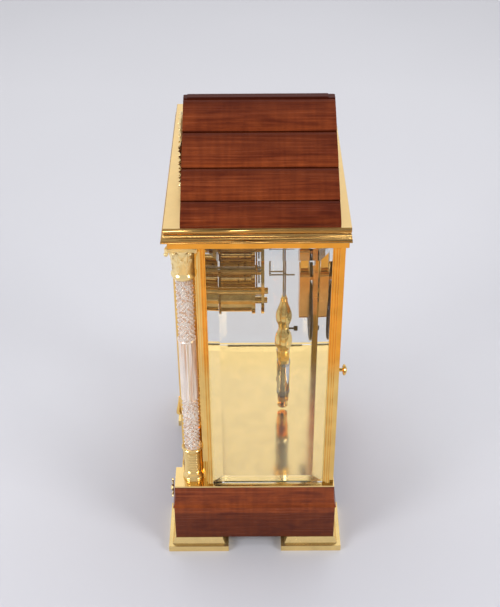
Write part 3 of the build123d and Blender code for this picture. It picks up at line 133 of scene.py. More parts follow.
class ClockSizes(bpy.types.PropertyGroup):
    """Sizes of the details that only the dressed model has."""

    edge_round: length_setting("Edge rounding", "Width of the rounding on metal edges", 0.0003)
    wood_round: length_setting("Wood edge rounding", "Width of the rounding on wooden edges", 0.0005)
    course_swell: length_setting("Course swell", "How far a roof course swells out of its groove", 0.0022)
    course_step: length_setting("Course step", "Depth of the grooves between the roof courses", 0.0012)
    diamond_height: length_setting("Diamond height", "Height of one cut diamond", 0.0044)
    cut_depth: length_setting("Cut depth", "Depth of the cuts in the crystal", 0.0013)
    leaf_relief: length_setting("Leaf relief", "How far the acanthus leaves stand out", 0.0011)
    numeral_height: length_setting("Numeral height", "Height of the dial's numbers", 0.0098)
    column_cuts: bpy.props.IntProperty(
        name="Cuts round a column", description="Diamonds and flutes round one crystal column", default=12, min=6
    )
    turning_steps: bpy.props.IntProperty(
        name="Turning steps", description="Sides of a turned piece", default=64, min=12
    )


class ClockStudio(bpy.types.PropertyGroup):
    """The floor, the lamps and the camera."""

    # The near floor colour is painted shade: the floor is painted darker towards the camera than on the far side.
    floor_near_painted_shade: colour_setting("Near floor", "Floor colour below the clock", (0.6, 0.6, 0.64))
    floor_far: colour_setting("Far floor", "Floor colour behind the clock", (0.71, 0.71, 0.74))
    table: colour_setting("Table", "Warm wood of the table beyond the pale sheet", (0.66, 0.42, 0.18))
    sheet_edge: length_setting("Sheet edge", "Where the pale sheet ends, out from the clock's middle", 0.36)
    table_edge: length_setting("Table edge", "Where the table ends, out from the clock's middle", 0.95)
    backdrop: colour_setting("Backdrop", "Pale surroundings that the glass and the gilding reflect", (0.8, 0.8, 0.84))
    ambient: bpy.props.FloatProperty(name="Ambient", description="Strength of the surroundings", default=1.0, min=0.0)
    key_power: bpy.props.FloatProperty(
        name="Key lamp", description="Power of the large lamp overhead", default=17.0, min=0.0, unit="POWER"
    )
    far_power: bpy.props.FloatProperty(
        name="Far lamp", description="Power of the lamp on the far side", default=4.0, min=0.0, unit="POWER"
    )
    side_power: bpy.props.FloatProperty(
        name="Side lamps", description="Power of each lamp beside the camera", default=15.0, min=0.0, unit="POWER"
    )
    camera_place: bpy.props.FloatVectorProperty(
        name="Camera", description="Place of the camera", default=(0.80014, -0.00156, 0.78536), size=3, unit="LENGTH"
    )
    camera_pitch: bpy.props.FloatProperty(
        name="Pitch", description="How far the camera looks down", default=math.radians(35.99), unit="ROTATION"
    )
    camera_yaw: bpy.props.FloatProperty(
        name="Yaw", description="How far the camera looks aside from -X", default=math.radians(-0.11), unit="ROTATION"
    )
    camera_roll: bpy.props.FloatProperty(
        name="Roll", description="How far the camera is turned about its own line", default=math.radians(0.41),
        unit="ROTATION"
    )
    focal_length: bpy.props.FloatProperty(
        name="Focal length", description="Focal length of the lens", default=64.04, min=1.0, unit="CAMERA"
    )


def colours():
    """The scene's colour settings."""
    return bpy.context.scene.clock_colours


def sizes():
    """The scene's size settings."""
    return bpy.context.scene.clock_sizes


def studio():
    """The scene's studio settings."""
    return bpy.context.scene.clock_studio


# Node trees

def node(tree, kind, inputs=None, **settings):
    """Adds a shader node, sets it and links or fills its sockets."""
    made = tree.nodes.new("ShaderNode" + kind)
    for name, value in settings.items():
        setattr(made, name, value)
    for name, value in (inputs or {}).items():
        if isinstance(value, bpy.types.NodeSocket):
            tree.links.new(value, made.inputs[name])
        else:
            made.inputs[name].default_value = value
    return made


def blended(tree, factor, low, high, blend="MIX"):
    """The colour between two colours."""
    mix = node(tree, "Mix", data_type="RGBA", blend_type=blend)
    for socket, value in ((mix.inputs[0], factor), (mix.inputs[6], low), (mix.inputs[7], high)):
        if isinstance(value, bpy.types.NodeSocket):
            tree.links.new(value, socket)
        else:
            socket.default_value = value
    return mix.outputs[2]


def between(tree, value, low, high, new_low, new_high):
    """A value mapped from one range to another and held inside it."""
    inputs = {"Value": value, "From Min": low, "From Max": high, "To Min": new_low, "To Max": new_high}
    return node(tree, "MapRange", inputs).outputs["Result"]


def noise(tree, vector, scale, detail=3.0, distortion=0.0):
    """A noise value over the surface."""
    inputs = {"Vector": vector, "Scale": scale, "Detail": detail, "Distortion": distortion}
    return node(tree, "TexNoise", inputs).outputs["Fac"]


def stretched(tree, vector, scale, turn=(0.0, 0.0, 0.0)):
    """The vector, turned and scaled along its axes."""
    return node(tree, "Mapping", {"Vector": vector, "Rotation": turn, "Scale": scale}).outputs["Vector"]


def opaque(colour):
    """A colour setting with its alpha."""
    return (*colour, 1.0)


def effect(name, inputs, outputs):
    """A new node group with its sockets, and its input and output nodes."""
    tree = bpy.data.node_groups.new(name, "ShaderNodeTree")
    for title, kind in inputs:
        tree.interface.new_socket(title, in_out="INPUT", socket_type="NodeSocket" + kind)
    for title, kind in outputs:
        tree.interface.new_socket(title, in_out="OUTPUT", socket_type="NodeSocket" + kind)
    return tree, tree.nodes.new("NodeGroupInput"), tree.nodes.new("NodeGroupOutput")


def wood_effect():
    """Mahogany figure with the grain along the vector's X."""
    if "wood_figure" in bpy.data.node_groups:
        return bpy.data.node_groups["wood_figure"]
    tree, given, out = effect(
        "wood_figure",
        (("Vector", "Vector"), ("Light", "Color"), ("Middle", "Color"), ("Dark", "Color"), ("Painted Shade", "Float"),
         ("Flame", "Float")),
        (("Color", "Color"), ("Roughness", "Float"), ("Height", "Float")),
    )
    vector = given.outputs["Vector"]
    bands = noise(tree, stretched(tree, vector, (5.0, 38.0, 38.0)), 1.0, 4.0, 0.6)
    streaks = noise(tree, stretched(tree, vector, (16.0, 420.0, 420.0)), 1.0, 4.0, 0.3)
    pores = noise(tree, stretched(tree, vector, (180.0, 2600.0, 2600.0)), 1.0, 2.0)
    flame = noise(tree, stretched(tree, vector, (26.0, 70.0, 70.0), (0.0, 0.5, 0.5)), 1.0, 3.0, 1.2)
    curl = noise(tree, stretched(tree, vector, (230.0, 26.0, 26.0)), 1.0, 1.0)
    wide = between(tree, bands, 0.32, 0.68, 0.0, 1.0)
    fine = between(tree, streaks, 0.3, 0.7, 0.0, 1.0)
    lit = node(tree, "Math", {0: between(tree, flame, 0.38, 0.66, 0.0, 1.0), 1: given.outputs["Flame"]}, operation="MULTIPLY")
    lower = blended(tree, wide, given.outputs["Dark"], given.outputs["Middle"])
    upper = blended(tree, wide, given.outputs["Middle"], given.outputs["Light"])
    mixed = blended(tree, fine, lower, upper)
    flamed = blended(tree, lit.outputs[0], mixed, given.outputs["Light"])
    rippled = blended(tree, between(tree, curl, 0.35, 0.65, 0.0, 0.24), flamed, given.outputs["Dark"])
    pore_dark = between(tree, pores, 0.3, 0.42, 0.45, 0.0)
    pored = blended(tree, pore_dark, rippled, given.outputs["Dark"])
    # Painted shade: the shade input darkens the figure towards the dark wood.
    final = blended(tree, given.outputs["Painted Shade"], pored, given.outputs["Dark"])
    tree.links.new(final, out.inputs["Color"])
    tree.links.new(between(tree, streaks, 0.3, 0.7, 0.2, 0.3), out.inputs["Roughness"])
    tree.links.new(between(tree, pores, 0.3, 0.5, 0.0, 1.0), out.inputs["Height"])
    return tree


def metal_effect():
    """Uneven tone, polish and fine unevenness of a plated or polished metal."""
    if "metal_finish" in bpy.data.node_groups:
        return bpy.data.node_groups["metal_finish"]
    tree, given, out = effect(
        "metal_finish",
        (("Vector", "Vector"), ("Bright", "Color"), ("Deep", "Color"), ("Polish", "Float"), ("Dull", "Float")),
        (("Color", "Color"), ("Roughness", "Float"), ("Height", "Float")),
    )
    vector = given.outputs["Vector"]
    clouds = noise(tree, vector, 60.0, 3.0, 0.4)
    scuffs = noise(tree, stretched(tree, vector, (1400.0, 260.0, 1400.0)), 1.0, 2.0)
    grit = noise(tree, vector, 2400.0, 2.0)
    tone = between(tree, clouds, 0.35, 0.65, 0.0, 1.0)
    tree.links.new(blended(tree, tone, given.outputs["Deep"], given.outputs["Bright"]), out.inputs["Color"])
    wear = node(tree, "Math", {0: tone, 1: between(tree, scuffs, 0.35, 0.7, 0.0, 1.0)}, operation="MULTIPLY")
    rough = node(tree, "MapRange", {"Value": wear.outputs[0], "To Min": given.outputs["Polish"], "To Max": given.outputs["Dull"]})
    tree.links.new(rough.outputs["Result"], out.inputs["Roughness"])
    height = node(tree, "Math", {0: clouds, 1: between(tree, grit, 0.3, 0.7, 0.0, 0.15)}, operation="ADD")
    tree.links.new(height.outputs[0], out.inputs["Height"])
    return tree


def started(name):
    """A new material, its tree, its Principled shader and its object coordinates."""
    made = bpy.data.materials.new(name)
    made.use_nodes = True
    tree = made.node_tree
    return made, tree, tree.nodes["Principled BSDF"], node(tree, "TexCoord").outputs["Object"]


def bumped(tree, shader, height, strength, distance):
    """Feeds a height to the shader's normal."""
    bump = node(tree, "Bump", {"Height": height, "Strength": strength, "Distance": distance})
    tree.links.new(bump.outputs["Normal"], shader.inputs["Normal"])


def wood(name, turn, middle=None, painted_shade=(), gloss=0.2, flame=0.3):
    """Polished mahogany whose grain is turned from X; its painted shade pairs heights with how dark the wood is painted
    there.
    """
    if name in bpy.data.materials:
        return bpy.data.materials[name]
    made, tree, shader, place = started(name)
    use = colours()
    inputs = {
        "Vector": stretched(tree, place, (1.0, 1.0, 1.0), turn),
        "Light": opaque(middle or use.wood_light),
        "Middle": opaque(middle or use.wood_middle),
        "Dark": opaque(use.wood_dark),
        "Flame": flame,
    }
    figure = node(tree, "Group", node_tree=wood_effect())
    tree.links.new(inputs.pop("Vector"), figure.inputs["Vector"])
    for title, value in inputs.items():
        figure.inputs[title].default_value = value
    # Painted shade: a ramp over the height gives how dark the wood is painted at each level.
    if painted_shade:
        low, high = painted_shade[0][0], painted_shade[-1][0]
        height = node(tree, "SeparateXYZ", {"Vector": place}).outputs["Z"]
        ramp = node(tree, "ValToRGB", {"Fac": between(tree, height, low, high, 0.0, 1.0)})
        stops = ramp.color_ramp.elements
        stops.remove(stops[1])
        for level, dark in painted_shade:
            stop = stops[0] if level == low else stops.new((level - low) / (high - low))
            stop.color = (dark, dark, dark, 1.0)
        tree.links.new(ramp.outputs["Color"], figure.inputs["Painted Shade"])
    tree.links.new(figure.outputs["Color"], shader.inputs["Base Color"])
    tree.links.new(figure.outputs["Roughness"], shader.inputs["Roughness"])
    shader.inputs["Specular IOR Level"].default_value = gloss
    shader.inputs["Coat Weight"].default_value = gloss / 3
    shader.inputs["Coat Roughness"].default_value = 0.1
    bumped(tree, shader, figure.outputs["Height"], 0.15, 0.0001)
    return made


def metal(name, bright, depth=0.85, polish=0.1, dull=0.22, bump=0.08, metallic=1.0):
    """Polished or satin metal of one colour; lacquered gilding is a little less metallic."""
    if name in bpy.data.materials:
        return bpy.data.materials[name]
    made, tree, shader, place = started(name)
    finish = node(tree, "Group", node_tree=metal_effect())
    tree.links.new(place, finish.inputs["Vector"])
    finish.inputs["Bright"].default_value = opaque(bright)
    finish.inputs["Deep"].default_value = opaque([part * depth for part in bright])
    finish.inputs["Polish"].default_value = polish
    finish.inputs["Dull"].default_value = dull
    tree.links.new(finish.outputs["Color"], shader.inputs["Base Color"])
    tree.links.new(finish.outputs["Roughness"], shader.inputs["Roughness"])
    shader.inputs["Metallic"].default_value = metallic
    bumped(tree, shader, finish.outputs["Height"], bump, 0.0002)
    return made


def gilt():
    """Polished gilding."""
    return metal("gilt", colours().gilt, 0.86, 0.05, 0.12)


def cast_gilt():
    """Bright gilding on cast and chased leaves."""
    return metal("cast_gilt", colours().leaf_gilt, 0.9, 0.14, 0.24, 0.15, 0.4)


def satin_gilt():
    """Matt gilding."""
    return metal("satin_gilt", colours().satin_gilt, 0.9, 0.28, 0.42)


def brass():
    """Brass of the movement."""
    return metal("movement_brass", colours().brass, 0.75, 0.1, 0.22)


def bronze():
    """Warm brown metal."""
    return metal("gong_bronze", colours().bronze, 0.8, 0.18, 0.3)


def steel():
    """Bright steel."""
    return metal("bright_steel", colours().steel, 0.8, 0.15, 0.3)


def blued_steel():
    """Dark blued steel."""
    return metal("blued_steel", colours().blued_steel, 0.6, 0.2, 0.35)


def let_through(tree, shader, tint):
    """Lets lamp light pass through a glass without casting a solid shadow."""
    lit = node(tree, "BsdfTransparent", {"Color": opaque(tint)})
    shadow = node(tree, "LightPath").outputs["Is Shadow Ray"]
    mixed = node(tree, "MixShader", {0: shadow, 1: shader.outputs["BSDF"], 2: lit.outputs["BSDF"]})
    tree.links.new(mixed.outputs["Shader"], tree.nodes["Material Output"].inputs["Surface"])


def pane_glass():
    """Thick clear pane glass, faintly green."""
    if "pane_glass" in bpy.data.materials:
        return bpy.data.materials["pane_glass"]
    made, tree, shader, place = started("pane_glass")
    tint = colours().pane_tint
    smears = between(tree, noise(tree, place, 45.0, 2.0), 0.3, 0.7, 0.0, 1.0)
    fainter = opaque([part * 0.985 for part in tint])
    tree.links.new(blended(tree, smears, fainter, opaque(tint)), shader.inputs["Base Color"])
    tree.links.new(between(tree, smears, 0.0, 1.0, 0.0, 0.015), shader.inputs["Roughness"])
    shader.inputs["IOR"].default_value = 1.5
    shader.inputs["Transmission Weight"].default_value = 1.0
    let_through(tree, shader, tint)
    return made


def crystal_glass():
    """Cut crystal with painted glints: bright specks on the cuts and bright lines on the flutes, with painted warm
    shade between them.
    """
    made, tree, shader, place = started("cut_crystal")
    use = colours()
    low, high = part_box("crystal_columns")
    length = high[2] - low[2]
    # Painted glints: noise specks on the cuts and long noise lines on the flutes switch the colour between the bright
    # tint and the painted warm shade.
    glint_specks = noise(tree, place, 430.0, 1.0)
    lines = noise(tree, stretched(tree, place, (420.0, 420.0, 12.0)), 1.0, 1.0)
    height = node(tree, "SeparateXYZ", {"Vector": place}).outputs["Z"]
    above = between(tree, height, low[2] + 0.3 * length, low[2] + 0.32 * length, 0.0, 1.0)
    below = between(tree, height, low[2] + 0.64 * length, low[2] + 0.65 * length, 1.0, 0.0)
    fluted = node(tree, "Math", {0: above, 1: below}, operation="MULTIPLY").outputs[0]
    flash = node(tree, "Mix", {"Factor": fluted, "A": glint_specks, "B": lines}, data_type="FLOAT").outputs["Result"]
    shade = between(tree, flash, 0.36, 0.5, 0.0, 1.0)
    tree.links.new(blended(tree, shade, opaque(use.crystal_painted_shade), opaque(use.crystal_tint_and_glint)), shader.inputs["Base Color"])
    tree.links.new(between(tree, shade, 0.0, 1.0, 0.05, 0.0), shader.inputs["Roughness"])
    shader.inputs["IOR"].default_value = 1.4
    shader.inputs["Transmission Weight"].default_value = 0.48
    shader.inputs["Metallic"].default_value = 0.2
    let_through(tree, shader, use.crystal_tint_and_glint)
    return made


def enamel():
    """White enamel of the dial."""
    if "dial_enamel" in bpy.data.materials:
        return bpy.data.materials["dial_enamel"]
    made, tree, shader, place = started("dial_enamel")
    cloud = between(tree, noise(tree, place, 90.0, 3.0), 0.3, 0.7, 0.0, 1.0)
    tone = colours().enamel
    tree.links.new(blended(tree, cloud, opaque([part * 0.95 for part in tone]), opaque(tone)), shader.inputs["Base Color"])
    tree.links.new(between(tree, cloud, 0.0, 1.0, 0.12, 0.2), shader.inputs["Roughness"])
    bumped(tree, shader, cloud, 0.05, 0.0002)
    return made


def ink():
    """Black of the numbers."""
    if "dial_ink" in bpy.data.materials:
        return bpy.data.materials["dial_ink"]
    made, tree, shader, place = started("dial_ink")
    cloud = between(tree, noise(tree, place, 900.0, 2.0), 0.3, 0.7, 0.0, 1.0)
    tone = colours().ink
    tree.links.new(blended(tree, cloud, opaque(tone), opaque([part * 2 for part in tone])), shader.inputs["Base Color"])
    tree.links.new(between(tree, cloud, 0.0, 1.0, 0.3, 0.45), shader.inputs["Roughness"])
    return made


# Meshes

def cad_copy(name):
    """A CAD node's mesh with its triangles merged into faces."""
    bm = bmesh.new()
    bm.from_mesh(frame["nodes"][name].data)
    bmesh.ops.remove_doubles(bm, verts=bm.verts, dist=1e-6)
    bmesh.ops.dissolve_limit(bm, angle_limit=math.radians(0.5), verts=bm.verts, edges=bm.edges)
    return bm


def piece(name, bm, materials, body, nodes=(), edge=0.0, sharp=32.0, flat=False):
    """Makes the mesh an object that rides on a body and stands for CAD nodes."""
    bmesh.ops.recalc_face_normals(bm, faces=bm.faces)
    for face in bm.faces:
        face.smooth = not flat
    for line in bm.edges:
        line.smooth = line.calc_face_angle(0.0) < math.radians(sharp)
    mesh = bpy.data.meshes.new(name)
    bm.to_mesh(mesh)
    bm.free()
    for finish in materials:
        mesh.materials.append(finish)
    made = bpy.data.objects.new(name, mesh)
    bpy.context.scene.collection.objects.link(made)
    if edge:
        bevel = made.modifiers.new("edges", "BEVEL")
        bevel.width = edge
        bevel.segments = 2
        bevel.limit_method = "ANGLE"
        bevel.angle_limit = math.radians(sharp)
        bevel.harden_normals = True
    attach(made, body)
    if nodes:
        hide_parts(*nodes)
    return made


def refined(name, finish, edge=None, sharp=32.0):
    """A CAD node's own shape with merged faces, rounded edges and a finish."""
    width = sizes().edge_round if edge is None else edge
    body = body_of(frame["nodes"][name])[0]
    return piece(name + "_finish", cad_copy(name), [finish], body, [name], width, sharp)


def turned(profile, at, steps=None, axis="Z"):
    """A turned form: the profile's points are radius and height along the axis."""
    bm = bmesh.new()
    verts = [bm.verts.new((radius, 0.0, height)) for radius, height in profile]
    lines = [bm.edges.new(pair) for pair in zip(verts, verts[1:])]
    bmesh.ops.spin(
        bm, geom=verts + lines, cent=(0, 0, 0), axis=(0, 0, 1), angle=full_turn,
        steps=steps or sizes().turning_steps, use_merge=True
    )
    bmesh.ops.remove_doubles(bm, verts=bm.verts, dist=1e-7)
    if axis == "Y":
        bmesh.ops.rotate(bm, cent=(0, 0, 0), matrix=Matrix.Rotation(math.radians(90), 3, "X"), verts=bm.verts)
    bmesh.ops.translate(bm, vec=at, verts=bm.verts)
    return bm


def smooth(points, steps=4):
    """A soft line through the points."""
    soft = []
    ends = [points[0], *points, points[-1]]
    for before, start, finish, after in zip(ends, ends[1:], ends[2:], ends[3:]):
        for number in range(steps):
            t = number / steps
            soft.append(tuple(
                b + ((c - a) * t + (2 * a - 5 * b + 4 * c - d) * t ** 2 + (3 * b - a - 3 * c + d) * t ** 3) / 2
                for a, b, c, d in zip(before, start, finish, after)
            ))
    return soft + [points[-1]]


def bead(radius, low, high, proud, steps=6):
    """Points of a half-round moulding on a turned form."""
    shares = [step / steps for step in range(steps + 1)]
    return [(radius + proud * math.sin(math.pi * share), low + (high - low) * share) for share in shares]


def scaled(points, across, along):
    """Points in shares, as lengths."""
    return [(across * point[0], along * point[1]) for point in points]


def ball(at, radius):
    """A small round bead."""
    bm = bmesh.new()
    bmesh.ops.create_icosphere(bm, subdivisions=2, radius=radius, matrix=Matrix.Translation(at))
    return bm


def upright_rod(x, y, radius, low, high):
    """A thin round bar that stands upright."""
    bm = bmesh.new()
    place = Matrix.Translation((x, y, (low + high) / 2))
    bmesh.ops.create_cone(
        bm, cap_ends=True, segments=16, radius1=radius, radius2=radius, depth=high - low, matrix=place
    )
    return bm


def kept(bm, at, normal):
    """Cuts off what lies beyond a plane and closes the cut."""
    geom = bm.verts[:] + bm.edges[:] + bm.faces[:]
    bmesh.ops.bisect_plane(bm, geom=geom, plane_co=at, plane_no=normal, clear_outer=True)
    bmesh.ops.holes_fill(bm, edges=[line for line in bm.edges if line.is_boundary], sides=0)
    return bm


def stacked(levels):
    """A solid moulding from rectangles (low corner, high corner, height) above one another."""
    bm = bmesh.new()
    bmesh.ops.create_grid(bm, x_segments=1, y_segments=1, size=1.0)
    bm.faces.ensure_lookup_table()
    face = bm.faces[0]
    for number, (low, high, height) in enumerate(levels):
        middle = face.calc_center_median()
        if number:
            grown = bmesh.ops.extrude_face_region(bm, geom=[face])["geom"]
            face = next(part for part in grown if isinstance(part, bmesh.types.BMFace))
        for vert in face.verts:
            x = high[0] if vert.co.x > middle.x else low[0]
            y = high[1] if vert.co.y > middle.y else low[1]
            vert.co = (x, y, height)
    return bm


def rosette(at, radius, petals, relief, boss):
    """Petals round a domed boss, facing -Y."""
    dome = [(0.0, relief)] + [
        (boss * math.sin(math.pi / 2 * step / 6), relief * math.cos(math.pi / 2 * step / 6)) for step in range(1, 7)
    ] + [(boss * 1.25, 0.18 * relief), (boss * 1.25, 0.0), (0.0, 0.0)]
    parts = [turned(dome, at, 32, "Y")]
    for step in range(petals):
        spin = Matrix.Rotation(full_turn * step / petals, 4, "Y")
        place = Matrix.Translation(at) @ spin @ Matrix.Translation((0, 0, boss * 0.8))
        parts.append(leaf(2.4 * radius / petals * 1.9, radius - boss * 0.8, relief * 0.45, relief * 0.25, place, 1))
    return joined(*parts)


def joined(*parts):
    """Several meshes as one, the others freed."""
    first = parts[0]
    for part in parts[1:]:
        mesh = bpy.data.meshes.new("part")
        part.to_mesh(mesh)
        part.free()
        first.from_mesh(mesh)
        bpy.data.meshes.remove(mesh)
    return first


def both_sides(bm):
    """Adds the mirrored copy at -X."""
    bmesh.ops.mirror(bm, geom=bm.verts[:] + bm.edges[:] + bm.faces[:], axis="X", merge_dist=0.0)
    return bm


def leaf(width, height, relief, curl, place, lobes=4, thickness=0.00035):
    """An acanthus leaf standing on its foot, ribbed and lobed, its tip curled towards -Y."""
    bm = bmesh.new()
    verts = bmesh.ops.create_grid(bm, x_segments=8, y_segments=12, size=0.5)["verts"]
    for vert in verts:
        across = vert.co.x * 2
        up = vert.co.y + 0.5
        outline = math.sin(math.pi * (0.16 + 0.8 * up)) ** 0.7
        scallop = 1 + 0.16 * math.cos(full_turn * lobes * up)
        ribs = 0.6 * (1 - abs(across)) + 0.4 * math.cos(2.5 * math.pi * across) ** 2
        stand = relief * ribs * (0.4 + 0.6 * up) + curl * up ** 3
        drop = 0.35 * curl * up ** 6
        vert.co = (across * width / 2 * outline * scallop, -stand, up * height - drop)
    bmesh.ops.solidify(bm, geom=bm.faces[:], thickness=thickness)
    bmesh.ops.transform(bm, matrix=place, verts=bm.verts)
    return bm


def around(at, angle, radius, height):
    """Place on a ring about a vertical axis, with -Y turned outwards."""
    turn = Matrix.Rotation(angle, 4, "Z")
    return Matrix.Translation(at) @ turn @ Matrix.Translation((0, -radius, height))


def wire(name, runs, radius, finish, body, nodes=(), cyclic=False, steps=8):
    """Round wire along smooth runs of points."""
    curve = bpy.data.curves.new(name, "CURVE")
    curve.dimensions = "3D"
    curve.bevel_depth = radius
    curve.bevel_resolution = 4
    curve.use_fill_caps = True
    for run in runs:
        line = curve.splines.new("NURBS")
        line.points.add(len(run) - 1)
        for point, place in zip(line.points, run):
            point.co = (*place, 1.0)
        line.order_u = 4
        line.use_endpoint_u = True
        line.resolution_u = steps
    curve.materials.append(finish)
    made = bpy.data.objects.new(name, curve)
    bpy.context.scene.collection.objects.link(made)
    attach(made, body)
    if nodes:
        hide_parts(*nodes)
    return made


# Shares that follow the frame: the roof's courses, and the swell of one course from its riser to its shelf
course_shares = (0.0, 0.19, 0.443, 0.73, 1.0)
cornice_profile = (
    (0.6, 0.0), (0.95, 0.3), (0.95, 0.8), (0.4, 1.0), (0.4, 1.7), (3.4, 1.9), (4.3, 2.1), (4.6, 2.5), (4.6, 3.1),
    (4.25, 3.5), (4.35, 4.1), (4.1, 5.0), (3.5, 6.0), (2.8, 6.9), (2.2, 7.7), (1.85, 8.5), (1.7, 9.2), (0.7, 9.4),
    (0.7, 10.2), (2.0, 10.3), (2.4, 10.6), (2.4, 14.1), (2.0, 14.5),
)
socle_profile = (
    [(0.0, 0.0), (0.95, 0.0)] + bead(0.93, 0.005, 0.085, 0.07) + [(0.89, 0.09), (0.89, 0.1)]
    + smooth([(0.92, 0.105), (0.88, 0.13), (0.82, 0.17), (0.79, 0.2)]) + bead(0.79, 0.205, 0.25, 0.05)
    + [point for ring in range(7) for point in bead(0.75, 0.26 + 0.08 * ring, 0.34 + 0.08 * ring, 0.07)]
    + smooth([(0.77, 0.83), (0.81, 0.86), (0.89, 0.9), (0.92, 0.925)]) + bead(0.93, 0.935, 0.985, 0.07)
    + [(0.92, 0.99), (0.92, 1.0), (0.785, 1.0), (0.785, 0.918), (0.0, 0.918)]
)
bell_profile = (
    [(0.0, 3.1), (7.55, 3.1), (7.55, 0.0), (9.0, 0.0)] + bead(9.1, 0.2, 4.7, 1.1, 8)
    + smooth([(8.9, 5.0), (8.5, 6.2), (8.4, 9.0), (8.7, 14.0), (9.3, 19.0), (10.0, 24.0), (11.0, 28.2), (11.1, 29.2)])
    + [(0.0, 29.2)]
)
ornament_profile = (
    [(0.0, 0.0), (0.6, 0.0)] + bead(0.6, 0.005, 0.035, 0.06) + smooth([
        (0.6, 0.04), (0.74, 0.07), (0.93, 0.13), (1.0, 0.19), (0.97, 0.26), (0.84, 0.33), (0.66, 0.39), (0.56, 0.43),
    ]) + bead(0.55, 0.435, 0.465, 0.07) + smooth([
        (0.56, 0.47), (0.7, 0.52), (0.86, 0.58), (0.92, 0.64), (0.88, 0.7), (0.72, 0.77), (0.54, 0.84), (0.42, 0.9),
        (0.38, 0.93),
    ]) + bead(0.34, 0.935, 0.965, 0.06) + [(0.3, 0.97), (0.28, 1.0), (0.0, 1.0)]
)
course_profile = (
    (0.0, 0.0), (0.0, 0.55), (0.012, 0.72), (0.04, 0.86), (0.12, 1.0), (0.22, 1.08), (0.34, 1.1), (0.48, 1.02),
    (0.62, 0.86), (0.76, 0.66), (0.86, 0.54), (0.94, 0.46), (0.975, 0.2), (1.0, 0.0),
)


# Operators

class CLOCK_OT_base(bpy.types.Operator):
    """Feet, mahogany base, corner mounts and case floor"""

    bl_idname = "clock.base"
    bl_label = "Base"

    def execute(self, context):
        refined("feet", metal("feet_gilt", colours().satin_gilt, 0.85, 0.17, 0.28, metallic=0.85))
        bm = cad_copy("wood_base")
        bmesh.ops.recalc_face_normals(bm, faces=bm.faces)
        for face in bm.faces:
            face.material_index = 1 if abs(face.normal.y) > 0.5 else 0
        low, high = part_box("wood_base")
        middle = (low[2] + high[2]) / 2
        # Painted shade: the lower band of the base is painted darker than the upper band.
        painted_shade = [(low[2], 0.6), (middle - 0.5 * mm, 0.5), (middle + 0.5 * mm, 0.0), (high[2], 0.0)]
        finishes = [
            wood("base_side_wood", (0, math.radians(4), math.radians(90)), painted_shade=painted_shade, flame=0.75),
            wood("base_front_wood", (0, 0, 0), flame=0.6),
        ]
        piece("wood_base_finish", bm, finishes, "case", ["wood_base"], sizes().wood_round)
        refined("base_plate", metal("case_floor_brass", colours().floor_brass, 0.94, 0.1, 0.16, 0.015), 0.0)
        low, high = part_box("block_mounts")
        radius = (high[2] - low[2]) / 2
        at = (high[0] - radius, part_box("wood_base")[0][1] + 0.6 * mm, (low[2] + high[2]) / 2)
        mount = rosette(at, radius, 12, 3.0 * mm, 3.4 * mm)
        piece("block_rosettes", both_sides(mount), [cast_gilt()], "case", ["block_mounts"], sharp=50.0)
        refined("foot_screws", steel())
        self.packing()
        return {"FINISHED"}

    def packing(self):
        """Dark strips along the feet of the side panes, inside the case."""
        low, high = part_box("side_glasses")
        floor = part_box("base_plate")[1][2]
        width, height = 1.0 * mm, 0.9 * mm
        bm = bmesh.new()
        place = Matrix.Translation((high[0] - 4.7 * mm - width / 2, (low[1] + high[1]) / 2, floor + height / 2))
        shape = Matrix.Diagonal((width, high[1] - low[1] - 24.0 * mm, height, 1.0))
        bmesh.ops.create_cube(bm, size=1.0, matrix=place @ shape)
        dark = metal("pane_packing", colours().packing, 0.8, 0.5, 0.7, metallic=0.0)
        piece("pane_packing", both_sides(bm), [dark], "case")


